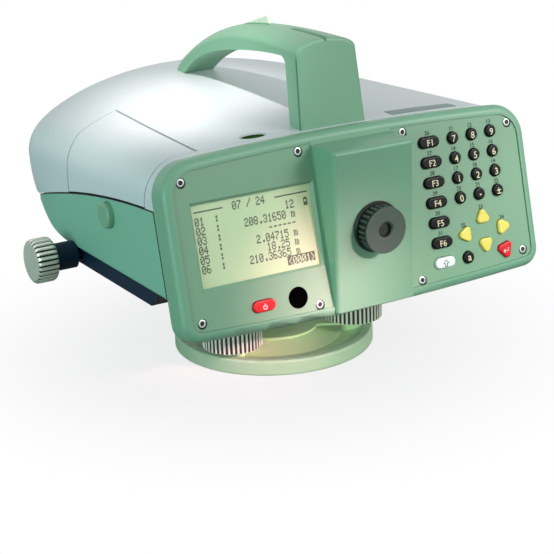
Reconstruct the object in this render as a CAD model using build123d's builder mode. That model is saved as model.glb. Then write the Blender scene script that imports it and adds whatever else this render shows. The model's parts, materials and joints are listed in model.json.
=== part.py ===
from build123d import *
import os
from math import cos, radians, sin, tan

os.makedirs("parts", exist_ok=True)

# Frame: origin under the middle of the base plate, the operator on the -Y side, the objective facing +Y

# Clearances
running = 0.05  # radial gap of a shaft in its bearing
sliding = 0.3  # gap between pieces that move past each other
seam = 0.3  # gap along the joints of the casing
wall = 2.6  # wall of the cover and the housing

# Base plate, spring plate and levelling screws
base_radius = 51.0
base_rim_height = 8.0
base_rim_width = 4.0
base_floor = 4.0
base_edge = 1.2
boss_radius = 22.5
boss_skirt = 12.0
seat_height = 8.0  # top of the boss and of the ball seats
thread_radius = 6.75  # core of the 5/8 inch tripod thread
pad_radius = 6.0
ball_radius = 4.5
neck_radius = 3.0
plate_thickness = 1.2
plate_hole_radius = 9.0
plate_arm_width = 8.0
wheel_lift = 2.6
wheel_radius = 15.0
wheel_height = 12.0
wheel_ribs = 40
wheel_rib_radius = 0.6
screw_shaft_radius = 4.0
bush_gap = 0.9  # room of a levelling screw in the head, for the head's tilt

# Levelling head, horizontal circle and spindle
head_lift = 2.4
lug_radius = 9.5
head_height = 14.0
hub_radius = 16.0
circle_radius = 30.0
circle_height = 4.0
spindle_radius = 10.0
head_floor = 6.0  # of the head under the spindle
flange_radius = 15.0
flange_thickness = 1.5
gear_height = 3.8

# Fine drive in its tray
tray_inset = 2.5  # from the side of the casing
tray_front = -63.4
tray_rear = 32.5
tray_depth = 8.5
tray_floor = 1.2
tray_wall = 2.5
tray_hole_gap = 0.7
drive_y = 24.0
drive_shaft_radius = 2.5
worm_half_length = 9.0
stub_neck_radius = 3.4
stub_radius = 6.8
stub_reach = 11.6  # of the drive stubs beyond the casing
drive_knob_radius = 11.0
drive_knob_width = 10.8
drive_knob_edge = 2.0
knob_flutes = 26
flute_radius = 0.75

# Casing
body_half_width = 97.5
body_front = -82.0
body_tail = 67.5  # where the straight sides end
tail_length = 47.0
tuck = 2.6  # how far the rear of the casing draws in towards its lower edge
tuck_start = 43.0
tuck_bottom = 79.0
tuck_top = 100.0
tuck_steps = 4
crown_front = 124.9
crown_rear = 131.1
crown_front_sag = 1.0
crown_rear_sag = 27.7
crown_overreach = 12.5  # of the crown's arch beyond the casing
crown_margin = 3.0
crown_radius = 19.0
seam_front = (-90.0, 103.2)
seam_middle = (-11.0, 96.7)
seam_rear = (68.0, 79.5)
housing_floor = 63.0
boat_start = 31.0
boat_end = (68.0, 76.5)
rear_floor_lap = 0.6
housing_edge = 2.2
form_bottom = 45.0
form_top = 150.0
form_front = -100.0
form_rear = 130.0

# Front frame and its panels
panel_y = -88.2
panel_z = 75.0
panel_tilt = 12.8
panel_overhang = 0.8  # of the frame beyond the casing on each side
panel_top = 54.4
panel_top_sag = 3.4
panel_bottom = -30.5
panel_bottom_sag = 2.7
panel_top_corner = 16.0
panel_bottom_corner = 9.0
frame_depth = 12.0
frame_edge = 3.5
frame_back_wall = 2.5
rim_width = 4.5
column_y = -96.3
column_half_width = 21.4
column_bottom = 46.9
column_top = 122.5
column_root = 3.0
column_edge = 2.0
pocket_inner = 21.8
bezel_recess = 0.6
bezel_gap = 0.1  # round each panel in its pocket
bezel_thickness = 3.5
ledge = 3.5
ledge_corner = 10.0
opening_inner = 23.2
chin_top = -11.0  # the frame is closed at the back below this height on the panel

# Panel screws
screw_inner = 28.5
screw_inset = 9.55  # of the outer screws from the frame's side
screw_inner_top = 46.7
screw_inner_bottom = -23.6
screw_outer_top = 42.4
screw_outer_bottom = -20.0
screw_head_radius = 1.9
screw_head_gap = 0.5
screw_head_height = 1.6
screw_shank_radius = 1.2
screw_length = 8.0
socket_width = 1.7
socket_depth = 0.9

# Display and windows
lcd_outer_inset = 13.1  # of the display's opening from the frame's end
lcd_inner_inset = 2.8  # of the opening from the column
lcd_v = 13.3
lcd_height = 37.1
lcd_bevel = 1.2
lcd_lip = 1.4
lcd_lap_outer = 2.0
lcd_lap_inner = 0.6
pane_thickness = 1.0
pane_gap = 0.1
display_thickness = 3.0
level_pane_sink = 0.3
level_hole_u = -39.3
level_hole_v = -18.0
level_hole_radius = 4.5
light_x = -39.0
light_y = -55.0
light_half_length = 6.4
light_half_width = 4.2

# Keys
key_gap = 0.25
key_height = 1.5
key_travel = 1.0
key_flange = 0.7
key_flange_thickness = 0.8
key_edge = 0.8
pill_length = 11.5
pill_width = 5.2
round_key_radius = 2.95
arrow_reach = 2.0
arrow_corner = 1.8
enter_reach = 2.5
mat_thickness = 1.2
key_board_thickness = 1.5
power_board_margin = 1.6
function_u = 42.0
digit_u = 55.9
digit_pitch = 11.05
row_v = 40.1
row_pitch = 9.57
arrow_u = 67.0
arrow_v = -6.4
arrow_step_u = 11.0
arrow_step_v = 6.5
alpha_v = -17.5
power_u = -57.4
power_v = -18.0

# Telescope, all on one axis along Y
axis_z = 85.0
tube_front = -66.0
tube_radius = 18.0
tube_wall = 2.5
tube_rear = 88.0
tube_front_wall = 3.0
cell_radius = 21.0
cell_rear = 109.0
lens_radius = 18.0
lens_y = 99.0
lens_thickness = 7.0
nose_gap = 2.5  # from the drive tray to the trough under the objective
nose_rear = 112.0
objective_opening = 20.0
saddle_y = -45.0
saddle_length = 6.0
saddle_half_width = 15.0

# Focusing drive
focus_y = 0.0
focus_drop = 6.2
focus_travel = 10.0
carriage_length = 16.0
carriage_wall = 3.0
focus_lens_thickness = 4.0
pinion_start = 19.0
pinion_width = 4.0
rack_height = 4.0
rack_margin = 3.0
arm_length = 4.0
focus_shaft_radius = 3.0
web_start = 27.0
web_width = 4.0
web_half_length = 6.0
focus_knob_radius = 13.0
focus_knob_width = 13.0
focus_knob_ribs = 36
focus_rib_radius = 0.7

# Compensator and sensor
pendulum_y = -28.0
pendulum_rise = 9.0
pin_radius = 1.2
pendulum_eye = 3.0
pendulum_width = 8.0
pendulum_drop = 8.0
mirror_width = 12.0
mirror_height = 10.0
mirror_thickness = 3.0
sensor_y = -50.0
sensor_width = 18.0
sensor_length = 14.0
sensor_height = 12.0
sensor_port = 5.0

# Eyepiece
barrel_radius = 8.0
barrel_front = -103.2
barrel_bore = 3.6
eye_lens_thickness = 2.0
ring_base_radius = 12.0
ring_face_radius = 10.8
ring_front = -105.0
ring_base_length = 1.8
ring_face_wall = 1.5
ring_hole_radius = 3.4
ring_ribs = 30
ring_rib_radius = 0.55

# Battery, main board and circular level inside the housing
battery_size = (27.0, 70.0, 36.0)
battery_inset = 21.0  # of its middle from the casing's side
battery_y = -15.0
board_inset = 36.0  # of its middle from the casing's side
board_y = -13.5
board_width = 55.0
board_length = 83.0
board_thickness = 1.6
board_lift = 4.4
post_radius = 2.5
post_inset = 4.0
vial_radius = 9.0
vial_height = 11.0
vial_y = -60.0

# Battery door and its latch
door_front = -59.3
door_rear = 40.5
door_rear_side = 25.0
door_top_front_inset = 26.4  # of the hinge line from the casing's side
door_top_rear_inset = 34.2
door_gap = 0.6
door_foot_gap = 0.6
door_lip = 0.9
door_rabbet = 2.2
hinge_depth = 1.1
hinge_radius = 0.7
hinge_room = 1.45
hinge_pin_end = 2.0
latch_y = -20.0
latch_z = 89.8
latch_radius = 6.2
latch_proud = 3.2
latch_edge = 1.2
latch_flange = 1.3
latch_flange_thickness = 1.2

# Carry handle
handle_front_low = (-64.0, 118.0)
handle_front_high = (-56.1, 174.0)
handle_ridge = (
    (-66.0, 165.7),
    (-34.0, 166.0),
    (-10.0, 165.1),
    (10.0, 163.0),
    (26.0, 159.7),
    (42.0, 154.4),
    (56.0, 148.2),
    (66.0, 142.9),
    (73.0, 138.7),
    (78.0, 134.6),
    (82.3, 124.0),
)
handle_inner_tail = (75.0, 124.0)
handle_inner = ((59.0, 136.4), (5.0, 152.3), (-30.0, 156.5))
handle_inner_corner = (-47.0, 157.5)
handle_inner_low = (-53.5, 118.0)
handle_inner_radius = 5.0
handle_front_half = 17.0
handle_rear_half = 7.9
handle_draft = 1.9  # how much wider the front leg is at its foot
handle_arch = 6.0  # height of the arched top over the handle's sides
handle_brow = 2.0  # rounding between the front leg and the arched top
handle_root = 8.0  # of the handle's sides below the end of its ridge
groove_top = 166.0
groove_half_width = 1.8
groove_depth = 2.4
groove_length = 36.0
fin_half_width = 1.2
fin_rear = (30.0, 157.8)
fin_tip = (-6.2, 168.9)
fin_foot = (-9.6, 164.0)

# Values worked out from those above
crown_reach = body_half_width + crown_overreach
tray_half_width = body_half_width - tray_inset
stub_end = body_half_width + stub_reach
panel_half_width = body_half_width + panel_overhang
screw_outer = panel_half_width - screw_inset
battery_x = battery_inset - body_half_width
board_x = body_half_width - board_inset
door_top_front = door_top_front_inset - body_half_width
door_top_rear = door_top_rear_inset - body_half_width
screw_circle = base_radius - base_rim_width - pad_radius
plate_top = seat_height + plate_thickness
wheel_bottom = plate_top + wheel_lift
wheel_top = wheel_bottom + wheel_height
head_bottom = wheel_top + head_lift
head_top = head_bottom + head_height
spindle_seat = head_bottom + head_floor
tray_bottom = housing_floor - tray_depth
drive_z = housing_floor - (tray_depth - tray_floor) / 2
worm_radius = (tray_depth - tray_floor) / 2 - sliding
gear_radius = drive_y - worm_radius - sliding
flange_bottom = housing_floor - flange_thickness
hub_top = flange_bottom - sliding
drive_knob_start = stub_end + sliding
drive_knob_end = drive_knob_start + drive_knob_width
floor_top = housing_floor + wall
focus_z = axis_z - focus_drop
pinion_reach = focus_drop - rack_height / 2 - sliding
focus_knob_start = body_half_width + 2 * sliding
tube_bore = tube_radius - tube_wall
nose_bore = cell_radius + sliding
nose_radius = nose_bore + wall
nose_front = tray_rear + nose_gap
pocket_depth = bezel_recess + bezel_thickness
level_pane_thickness = bezel_thickness - level_pane_sink
pane_top = bezel_recess + lcd_lip
lcd_inner = column_half_width + lcd_inner_inset
lcd_width = panel_half_width - lcd_outer_inset - lcd_inner
lcd_u = -lcd_inner - lcd_width / 2
pane_u = lcd_u + (lcd_lap_inner - lcd_lap_outer) / 2
pane_width = lcd_width + lcd_lap_outer + lcd_lap_inner
pane_height = lcd_height + 2 * lcd_lap_outer
key_top = key_height - bezel_recess
key_flange_top = pocket_depth + sliding
key_flange_bottom = key_flange_top + key_flange_thickness
mat_top = key_flange_bottom + key_travel + sliding
board_top = mat_top + mat_thickness
opening_outer = panel_half_width - rim_width - ledge
opening_top = panel_top - rim_width - ledge
opening_bottom = panel_bottom + rim_width + ledge
footscrew_angles = {"footscrew_front_left": 210, "footscrew_front_right": 330, "footscrew_rear": 90}

panel = Plane(
    origin=(0, panel_y, panel_z),
    x_dir=(1, 0, 0),
    z_dir=(0, -cos(radians(panel_tilt)), sin(radians(panel_tilt))),
)
panel_normal = Axis((0, 0, 0), panel.z_dir)
body_cut = panel.offset(-(frame_depth + seam))


def save(piece, name):
    """Label a finished piece with its node's name and write it."""
    piece.label = name
    export_step(piece, f"parts/{name}.step")


def knurled(radius, ribs, rib_radius):
    """Plan of a round grip with small ribs standing out all round it."""
    with BuildSketch() as grip:
        Circle(radius)
        with PolarLocations(radius, ribs):
            Circle(rib_radius)
    return grip.sketch


def plan_outline(inset):
    """Plan of the casing: straight sides and a half ellipse at the rear, drawn in by a margin."""
    half = body_half_width - inset
    with BuildSketch() as plan:
        with BuildLine():
            Polyline((-half, body_tail), (-half, body_front), (half, body_front), (half, body_tail))
            tail = tail_length - inset
            EllipticalCenterArc((0, body_tail), half, tail, start_angle=0, arc_size=180)
        make_face()
    return plan.sketch


def tucked_outline(inset, draw):
    """Plan of the casing lower down, where the rear is drawn in a little more."""
    half = body_half_width - inset
    with BuildSketch() as plan:
        with BuildLine():
            Polyline(
                (draw - half, body_tail),
                (-half, tuck_start),
                (-half, body_front),
                (half, body_front),
                (half, tuck_start),
                (half - draw, body_tail),
            )
            tail = tail_length - inset - draw
            EllipticalCenterArc((0, body_tail), half - draw, tail, start_angle=0, arc_size=180)
        make_face()
    return plan.sketch


def crown_section(y, top, sag):
    """One cross-section under the crown, from a level bottom up to a shallow arch."""
    with BuildSketch(Plane.XZ.offset(-y)) as section:
        with BuildLine():
            arch = ThreePointArc((-crown_reach, top - sag), (0, top), (crown_reach, top - sag))
            Polyline(arch @ 1, (crown_reach, form_bottom), (-crown_reach, form_bottom), arch @ 0)
        make_face()
    return section.sketch


def body_form(inset):
    """Whole casing as a solid, drawn in by a margin: plan, arched crown and rounded top edge."""
    with BuildPart() as form:
        with BuildSketch(Plane.XY.offset(form_bottom)):
            add(plan_outline(inset))
        extrude(amount=form_top - form_bottom)
        front = crown_section(body_front - crown_margin, crown_front - inset, crown_front_sag)
        rear_y = body_tail + tail_length + crown_margin
        rear = crown_section(rear_y, crown_rear - inset, crown_rear_sag)
        loft([front, rear], ruled=True, mode=Mode.INTERSECT)
        crown = form.faces().sort_by(Axis.Z)[-1]
        fillet(crown.edges().sort_by(Axis.Y)[1:], crown_radius - inset)
        with BuildPart(mode=Mode.SUBTRACT):
            with BuildSketch(Plane.XY.offset(form_bottom)):
                add(plan_outline(inset - tuck))
            extrude(amount=tuck_top - form_bottom)
            with BuildSketch(Plane.XY.offset(form_bottom)):
                add(tucked_outline(inset, tuck))
            extrude(amount=tuck_bottom - form_bottom, mode=Mode.SUBTRACT)
            layers = []
            for step in range(tuck_steps + 1):
                level = step / tuck_steps
                height = tuck_bottom + level * (tuck_top - tuck_bottom)
                layers.append(Pos(0, 0, height) * tucked_outline(inset, tuck * (1 - level) ** 2))
            loft(layers, ruled=True, mode=Mode.SUBTRACT)
    return form.part


def seam_form(lift):
    """Everything above the seam between housing and cover, moved up by a margin."""
    with BuildPart() as form:
        with BuildSketch(Plane.YZ):
            with BuildLine():
                curve = ThreePointArc(*[(y, z + lift) for y, z in (seam_front, seam_middle, seam_rear)])
                Polyline(
                    curve @ 1,
                    (form_rear, seam_rear[1] + lift),
                    (form_rear, form_top),
                    (form_front, form_top),
                    (form_front, seam_front[1] + lift),
                    curve @ 0,
                )
            make_face()
        extrude(amount=crown_reach, both=True)
    return form.part


def hull_form(inset):
    """Everything above the housing's floor and its rising tail, drawn in by a margin."""
    with BuildPart() as form:
        with BuildSketch(Plane.YZ):
            with BuildLine():
                keel = Line((form_front, housing_floor + inset), (boat_start, housing_floor + inset))
                rise = TangentArc(keel @ 1, (boat_end[0] - inset, boat_end[1] + inset), tangent=(1, 0))
                Polyline(rise @ 1, (boat_end[0] - inset, form_top), (form_front, form_top), keel @ 0)
            make_face()
        extrude(amount=crown_reach, both=True)
    return form.part


def panel_outline(inset):
    """Outline of the front frame on its own plane, drawn in by a margin."""
    half = panel_half_width - inset
    high = panel_top - panel_top_sag - inset
    low = panel_bottom + panel_bottom_sag + inset
    with BuildSketch() as outline:
        with BuildLine():
            ThreePointArc((-half, high), (0, panel_top - inset), (half, high))
            Line((half, high), (half, low))
            ThreePointArc((half, low), (0, panel_bottom + inset), (-half, low))
            Line((-half, low), (-half, high))
        make_face()
        fillet(outline.vertices().group_by(Axis.Y)[-1], panel_top_corner - inset)
        fillet(outline.vertices().group_by(Axis.Y)[0], panel_bottom_corner - inset)
    return outline.sketch


def bezel_outline(side, gap):
    """Outline of the panel let into the frame on one side of the column."""
    with BuildSketch() as outline:
        add(panel_outline(rim_width + gap))
        with Locations((side * (pocket_inner + gap + panel_half_width), 0)):
            Rectangle(2 * panel_half_width, 2 * panel_half_width, mode=Mode.INTERSECT)
    return outline.sketch


def opening_outline(side, gap):
    """Opening behind a panel, with a ledge left across each corner for the panel's screw."""
    width = opening_outer - opening_inner - 2 * gap
    height = opening_top - opening_bottom - 2 * gap
    middle = ((opening_outer + opening_inner) / 2 * side, (opening_top + opening_bottom) / 2)
    with BuildSketch() as outline:
        with Locations(middle):
            Rectangle(width, height)
        chamfer(outline.vertices(), ledge_corner)
    return outline.sketch


def screw_points(side):
    """Places of the four screws of one panel."""
    return [
        (side * screw_inner, screw_inner_top),
        (side * screw_inner, screw_inner_bottom),
        (side * screw_outer, screw_outer_top),
        (side * screw_outer, screw_outer_bottom),
    ]


def key_outline(kind, turn, place, grow):
    """Plan of one key: a pill, a round, an arrow head or the enter wedge, grown by a margin."""
    with BuildSketch() as outline:
        with Locations(place):
            if kind == "pill":
                SlotOverall(pill_length + 2 * grow, pill_width + 2 * grow)
            elif kind == "round":
                Circle(round_key_radius + grow)
            else:
                reach = enter_reach if kind == "enter" else arrow_reach
                with PolarLocations(reach, 3, turn):
                    Circle(arrow_corner + grow)
        if kind in ("arrow", "enter"):
            make_hull()
    return outline.sketch


def door_outline(margin, hinge_shift):
    """Plan of the battery door, drawn in by a margin and moved at the hinge line."""
    slant = (door_rear - door_rear_side) / (body_half_width + door_top_rear)
    with BuildSketch() as outline:
        with BuildLine():
            Polyline(
                (door_top_front + hinge_shift, door_front + margin),
                (door_top_rear + hinge_shift, door_rear - margin + hinge_shift * slant),
                (-body_half_width, door_rear_side - margin),
                (-crown_reach, door_rear_side - margin),
                (-crown_reach, door_front + margin),
                close=True,
            )
        make_face()
    return outline.sketch


# Base plate with a dished top, a tapped boss and three ball seats
with BuildPart() as base_plate:
    with BuildSketch(Plane.XZ):
        with BuildLine():
            Polyline(
                (thread_radius, 0),
                (base_radius, 0),
                (base_radius, base_rim_height),
                (base_radius - base_rim_width, base_rim_height),
                (boss_radius + boss_skirt, base_floor),
                (boss_radius, seat_height),
                (thread_radius, seat_height),
                close=True,
            )
        make_face()
    revolve(axis=Axis.Z)
    fillet(base_plate.edges().filter_by(GeomType.CIRCLE).sort_by(SortBy.RADIUS)[-2:], base_edge)
    with BuildSketch():
        with PolarLocations(screw_circle, 3, 90):
            Circle(pad_radius)
    extrude(amount=seat_height)
    with PolarLocations(screw_circle, 3, 90):
        with Locations((0, 0, seat_height)):
            Sphere(ball_radius + running, mode=Mode.SUBTRACT)
save(base_plate.part, "base_plate")

# Spring plate that holds the three balls down in their seats
with BuildPart() as spring_plate:
    with BuildSketch(Plane.XY.offset(seat_height)):
        Circle(boss_radius)
        with PolarLocations(screw_circle, 3, 90):
            Circle(pad_radius)
        with PolarLocations(screw_circle / 2, 3, 90):
            Rectangle(screw_circle, plate_arm_width)
        Circle(plate_hole_radius, mode=Mode.SUBTRACT)
    extrude(amount=plate_thickness)
    with PolarLocations(screw_circle, 3, 90):
        with Locations((0, 0, seat_height)):
            Sphere(ball_radius + running, mode=Mode.SUBTRACT)
save(spring_plate.part, "spring_plate")

# Levelling screws: a ball, a neck, a ribbed wheel and the threaded shaft
for screw_name, screw_angle in footscrew_angles.items():
    foot = (screw_circle * cos(radians(screw_angle)), screw_circle * sin(radians(screw_angle)))
    with BuildPart() as footscrew:
        with Locations((*foot, seat_height)):
            Sphere(ball_radius)
        with BuildSketch(Plane.XY.offset(seat_height)):
            with Locations(foot):
                Circle(neck_radius)
        extrude(amount=wheel_bottom - seat_height)
        with BuildSketch(Plane.XY.offset(wheel_bottom)):
            with Locations(foot):
                add(knurled(wheel_radius - wheel_rib_radius, wheel_ribs, wheel_rib_radius))
        extrude(amount=wheel_height)
        with BuildSketch(Plane.XY.offset(wheel_top)):
            with Locations(foot):
                Circle(screw_shaft_radius)
        extrude(amount=head_top - wheel_top)
    save(footscrew.part, screw_name)

# Levelling head: three lugs, a hub with the spindle's bearing, and the rim that the worm drives
with BuildPart() as levelling_head:
    with BuildSketch(Plane.XY.offset(head_bottom)):
        with PolarLocations(screw_circle, 3, 90):
            Circle(lug_radius)
        make_hull()
        with PolarLocations(screw_circle, 3, 90):
            Circle(screw_shaft_radius + bush_gap, mode=Mode.SUBTRACT)
    extrude(amount=head_height)
    with BuildSketch(Plane.XY.offset(head_top)):
        Circle(hub_radius)
    extrude(amount=hub_top - head_top)
    with BuildSketch(Plane.XY.offset(hub_top)):
        Circle(gear_radius)
    extrude(amount=-gear_height)
    with BuildSketch(Plane.XY.offset(hub_top)):
        Circle(spindle_radius + running)
    extrude(amount=-(hub_top - spindle_seat), mode=Mode.SUBTRACT)
save(levelling_head.part, "levelling_head")

# Graduated horizontal circle, turned by hand on the hub
with BuildPart() as horizontal_circle:
    with BuildSketch(Plane.XY.offset(head_top + sliding)):
        Circle(circle_radius)
        Circle(hub_radius + running, mode=Mode.SUBTRACT)
    extrude(amount=circle_height)
save(horizontal_circle.part, "horizontal_circle")

# Vertical spindle with the flange that carries the housing
with BuildPart() as vertical_spindle:
    with BuildSketch(Plane.XY.offset(flange_bottom)):
        Circle(flange_radius)
    extrude(amount=flange_thickness)
    with BuildSketch(Plane.XY.offset(flange_bottom)):
        Circle(spindle_radius)
    extrude(amount=-(flange_bottom - spindle_seat - sliding))
save(vertical_spindle.part, "vertical_spindle")

# Tray under the housing, with a bearing stub for each fine drive knob
with BuildPart() as drive_housing:
    with BuildSketch(Plane.YZ):
        with BuildLine():
            Polyline(
                (tray_front, housing_floor),
                (tray_front + tray_depth, tray_bottom),
                (tray_rear, tray_bottom),
                (tray_rear, housing_floor),
                close=True,
            )
        make_face()
    extrude(amount=tray_half_width, both=True)
    with BuildSketch(Plane.XY.offset(housing_floor)):
        hollow_front = tray_front + tray_depth + tray_wall
        hollow_rear = tray_rear - tray_wall
        with Locations((0, (hollow_front + hollow_rear) / 2)):
            Rectangle(2 * (tray_half_width - tray_wall), hollow_rear - hollow_front)
    extrude(amount=-(tray_depth - tray_floor), mode=Mode.SUBTRACT)
    with BuildSketch(Plane.XY.offset(tray_bottom)):
        Circle(gear_radius + tray_hole_gap)
    extrude(amount=tray_floor, mode=Mode.SUBTRACT)
    for side in (-1, 1):
        with BuildSketch(Plane.YZ.offset(side * (tray_half_width - tray_wall))):
            with Locations((drive_y, drive_z)):
                Circle(stub_neck_radius)
        extrude(amount=side * (body_half_width + seam - tray_half_width + tray_wall))
        with BuildSketch(Plane.YZ.offset(side * (body_half_width + seam))):
            with Locations((drive_y, drive_z)):
                Circle(stub_radius)
        extrude(amount=side * (stub_end - body_half_width - seam))
    with BuildSketch(Plane.YZ):
        with Locations((drive_y, drive_z)):
            Circle(drive_shaft_radius + running)
    extrude(amount=stub_end, both=True, mode=Mode.SUBTRACT)
save(drive_housing.part, "drive_housing")

# Fine drive shaft with its worm
with BuildPart() as drive_shaft:
    with BuildSketch(Plane.YZ):
        with Locations((drive_y, drive_z)):
            Circle(drive_shaft_radius)
    extrude(amount=drive_knob_end - drive_knob_width / 2, both=True)
    with BuildSketch(Plane.YZ):
        with Locations((drive_y, drive_z)):
            Circle(worm_radius)
    extrude(amount=worm_half_length, both=True)
save(drive_shaft.part, "drive_shaft")

# Pair of fluted fine drive knobs
with BuildPart() as drive_knobs:
    for side in (-1, 1):
        with BuildSketch(Plane.YZ.offset(side * drive_knob_start)):
            with Locations((drive_y, drive_z)):
                Circle(drive_knob_radius)
        extrude(amount=side * drive_knob_width)
        fillet(drive_knobs.edges(Select.LAST).filter_by(GeomType.CIRCLE), drive_knob_edge)
        with BuildSketch(Plane.YZ.offset(side * drive_knob_start)):
            with Locations((drive_y, drive_z)):
                with PolarLocations(drive_knob_radius, knob_flutes):
                    Circle(flute_radius)
        extrude(amount=side * drive_knob_width, mode=Mode.SUBTRACT)
        with BuildSketch(Plane.YZ.offset(side * drive_knob_start)):
            with Locations((drive_y, drive_z)):
                Circle(drive_shaft_radius)
        extrude(amount=side * drive_knob_width / 2, mode=Mode.SUBTRACT)
save(drive_knobs.part, "drive_knobs")

# Casing forms that the shells are cut from
outer_form = body_form(0)
lip_form = body_form(door_lip)
inner_form = body_form(wall)

with BuildPart() as nose_form:
    with BuildSketch(Plane.XZ.offset(-nose_front)):
        with Locations((0, axis_z)):
            Circle(nose_radius)
    extrude(amount=-(nose_rear - nose_front))

with BuildPart() as nose_space:
    with BuildSketch(Plane.XZ.offset(-(nose_front + wall))):
        with Locations((0, axis_z)):
            Circle(nose_bore)
    extrude(amount=-(nose_rear - nose_front - 2 * wall))
    with BuildSketch(Plane.XZ.offset(-cell_rear)):
        with Locations((0, axis_z)):
            Circle(objective_opening)
    extrude(amount=-(form_rear - cell_rear))

# Inside of the housing and nose together
with BuildPart() as housing_space:
    add(inner_form)
    add(hull_form(wall), mode=Mode.INTERSECT)
    add(nose_space.part)

# Lower housing: floor, rising tail, trough under the objective and a closing floor at the rear
with BuildPart() as lower_housing:
    add(outer_form)
    add(hull_form(0), mode=Mode.INTERSECT)
    side_edges = lower_housing.edges().filter_by_position(Axis.Z, housing_floor, housing_floor)
    fillet(side_edges.filter_by(Axis.Y), housing_edge)
    add(nose_form.part)
    add(seam_form(-seam / 2), mode=Mode.SUBTRACT)
    split(bisect_by=body_cut, keep=Keep.BOTTOM)
    add(housing_space.part, mode=Mode.SUBTRACT)
    with BuildSketch(Plane.XY.offset(seam_rear[1] - rear_floor_lap)):
        add(tucked_outline(wall + seam, tuck))
        with Locations((0, boat_end[0] - wall - form_rear)):
            Rectangle(2 * crown_reach, 2 * form_rear, mode=Mode.SUBTRACT)
    extrude(amount=wall)
    add(nose_space.part, mode=Mode.SUBTRACT)
    with BuildSketch(Plane.XY.offset(housing_floor + wall / 2)):
        with Locations((0, saddle_y)):
            Rectangle(2 * saddle_half_width, saddle_length)
    extrude(amount=axis_z - tube_radius / 2 - housing_floor - wall / 2)
    with BuildSketch(Plane.XZ.offset(-(saddle_y - saddle_length))):
        with Locations((0, axis_z)):
            Circle(tube_radius + running)
    extrude(amount=-2 * saddle_length, mode=Mode.SUBTRACT)
    with BuildSketch(Plane.XY.offset(housing_floor + wall / 2)):
        with Locations((board_x, board_y)):
            with GridLocations(board_width - 2 * post_inset, board_length - 2 * post_inset, 2, 2):
                Circle(post_radius)
    extrude(amount=wall / 2 + board_lift)
    with BuildSketch(Plane.YZ.offset(web_start)):
        with Locations((focus_y, (focus_z + focus_shaft_radius + wall + housing_floor + wall / 2) / 2)):
            Rectangle(2 * web_half_length, focus_z + focus_shaft_radius + wall / 2 - housing_floor)
    extrude(amount=web_width)
    with BuildSketch(Plane.YZ):
        with Locations((focus_y, focus_z)):
            Circle(focus_shaft_radius + running)
    extrude(amount=crown_reach, mode=Mode.SUBTRACT)
    with BuildSketch(Plane.YZ.offset(-body_half_width - latch_proud)):
        with Locations((latch_y, latch_z)):
            Circle(latch_radius + sliding)
    extrude(amount=latch_proud + 2 * wall, mode=Mode.SUBTRACT)
save(lower_housing.part, "lower_housing")


def crown_height(x, y):
    """Height of the casing's top surface above one point of the plan."""
    hits = outer_form.find_intersection_points(Axis((x, y, form_bottom), (0, 0, 1)))
    return max(hit[0].Z for hit in hits)


# Hinge line of the battery door, a little under the surface of the cover
hinge_front = Vector(door_top_front, door_front, crown_height(door_top_front, door_front) - hinge_depth)
hinge_rear = Vector(door_top_rear, door_rear, crown_height(door_top_rear, door_rear) - hinge_depth)
hinge_plane = Plane(origin=hinge_front, z_dir=hinge_rear - hinge_front)
hinge_length = (hinge_rear - hinge_front).length

# Top cover with the door's opening, the objective's opening and the light window's seat
with BuildPart() as top_cover:
    add(outer_form)
    add(inner_form, mode=Mode.SUBTRACT)
    add(seam_form(seam / 2), mode=Mode.INTERSECT)
    split(bisect_by=body_cut, keep=Keep.BOTTOM)
    with BuildSketch(Plane.XY.offset(form_bottom)):
        add(door_outline(0, hinge_room))
    extrude(amount=form_top - form_bottom, mode=Mode.SUBTRACT)
    with BuildSketch(Plane.XZ.offset(-cell_rear)):
        with Locations((0, axis_z)):
            Circle(objective_opening)
    extrude(amount=-(form_rear - cell_rear), mode=Mode.SUBTRACT)
    with BuildSketch(Plane.XY.offset(axis_z)):
        with Locations((light_x, light_y)):
            Ellipse(light_half_length + seam, light_half_width + seam)
    extrude(amount=form_top - axis_z, mode=Mode.SUBTRACT)
    with BuildSketch(hinge_plane.offset(-hinge_pin_end)):
        Circle(hinge_radius + running)
    extrude(amount=hinge_length + 2 * hinge_pin_end, mode=Mode.SUBTRACT)
save(top_cover.part, "top_cover")

# Battery door: an outer lip, a rabbeted inner layer and the hinge pin along its top edge
with BuildPart() as side_door:
    add(outer_form)
    add(lip_form, mode=Mode.SUBTRACT)
    with BuildSketch(Plane.XY.offset(form_bottom)):
        add(door_outline(door_gap, 0))
    extrude(amount=form_top - form_bottom, mode=Mode.INTERSECT)
    with BuildSketch(Plane.XY.offset(form_bottom)):
        add(door_outline(door_rabbet, -door_rabbet))
    rabbet = extrude(amount=form_top - form_bottom, mode=Mode.PRIVATE)
    add((rabbet & lip_form) - inner_form)
    add(seam_form(door_foot_gap), mode=Mode.INTERSECT)
    with BuildSketch(hinge_plane.offset(-hinge_pin_end + seam)):
        Circle(hinge_radius)
    extrude(amount=hinge_length + 2 * (hinge_pin_end - seam))
save(side_door.part, "side_door")

# Latch button of the door, with a flange behind the housing's wall
with BuildPart() as door_latch:
    with BuildSketch(Plane.YZ.offset(-body_half_width - latch_proud)):
        with Locations((latch_y, latch_z)):
            Circle(latch_radius)
    extrude(amount=latch_proud + wall + sliding)
    fillet(door_latch.faces().sort_by(Axis.X)[0].edges(), latch_edge)
    with BuildSketch(Plane.YZ.offset(-body_half_width + wall + sliding)):
        with Locations((latch_y, latch_z)):
            Circle(latch_radius + latch_flange)
    extrude(amount=latch_flange_thickness)
save(door_latch.part, "door_latch")

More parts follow.
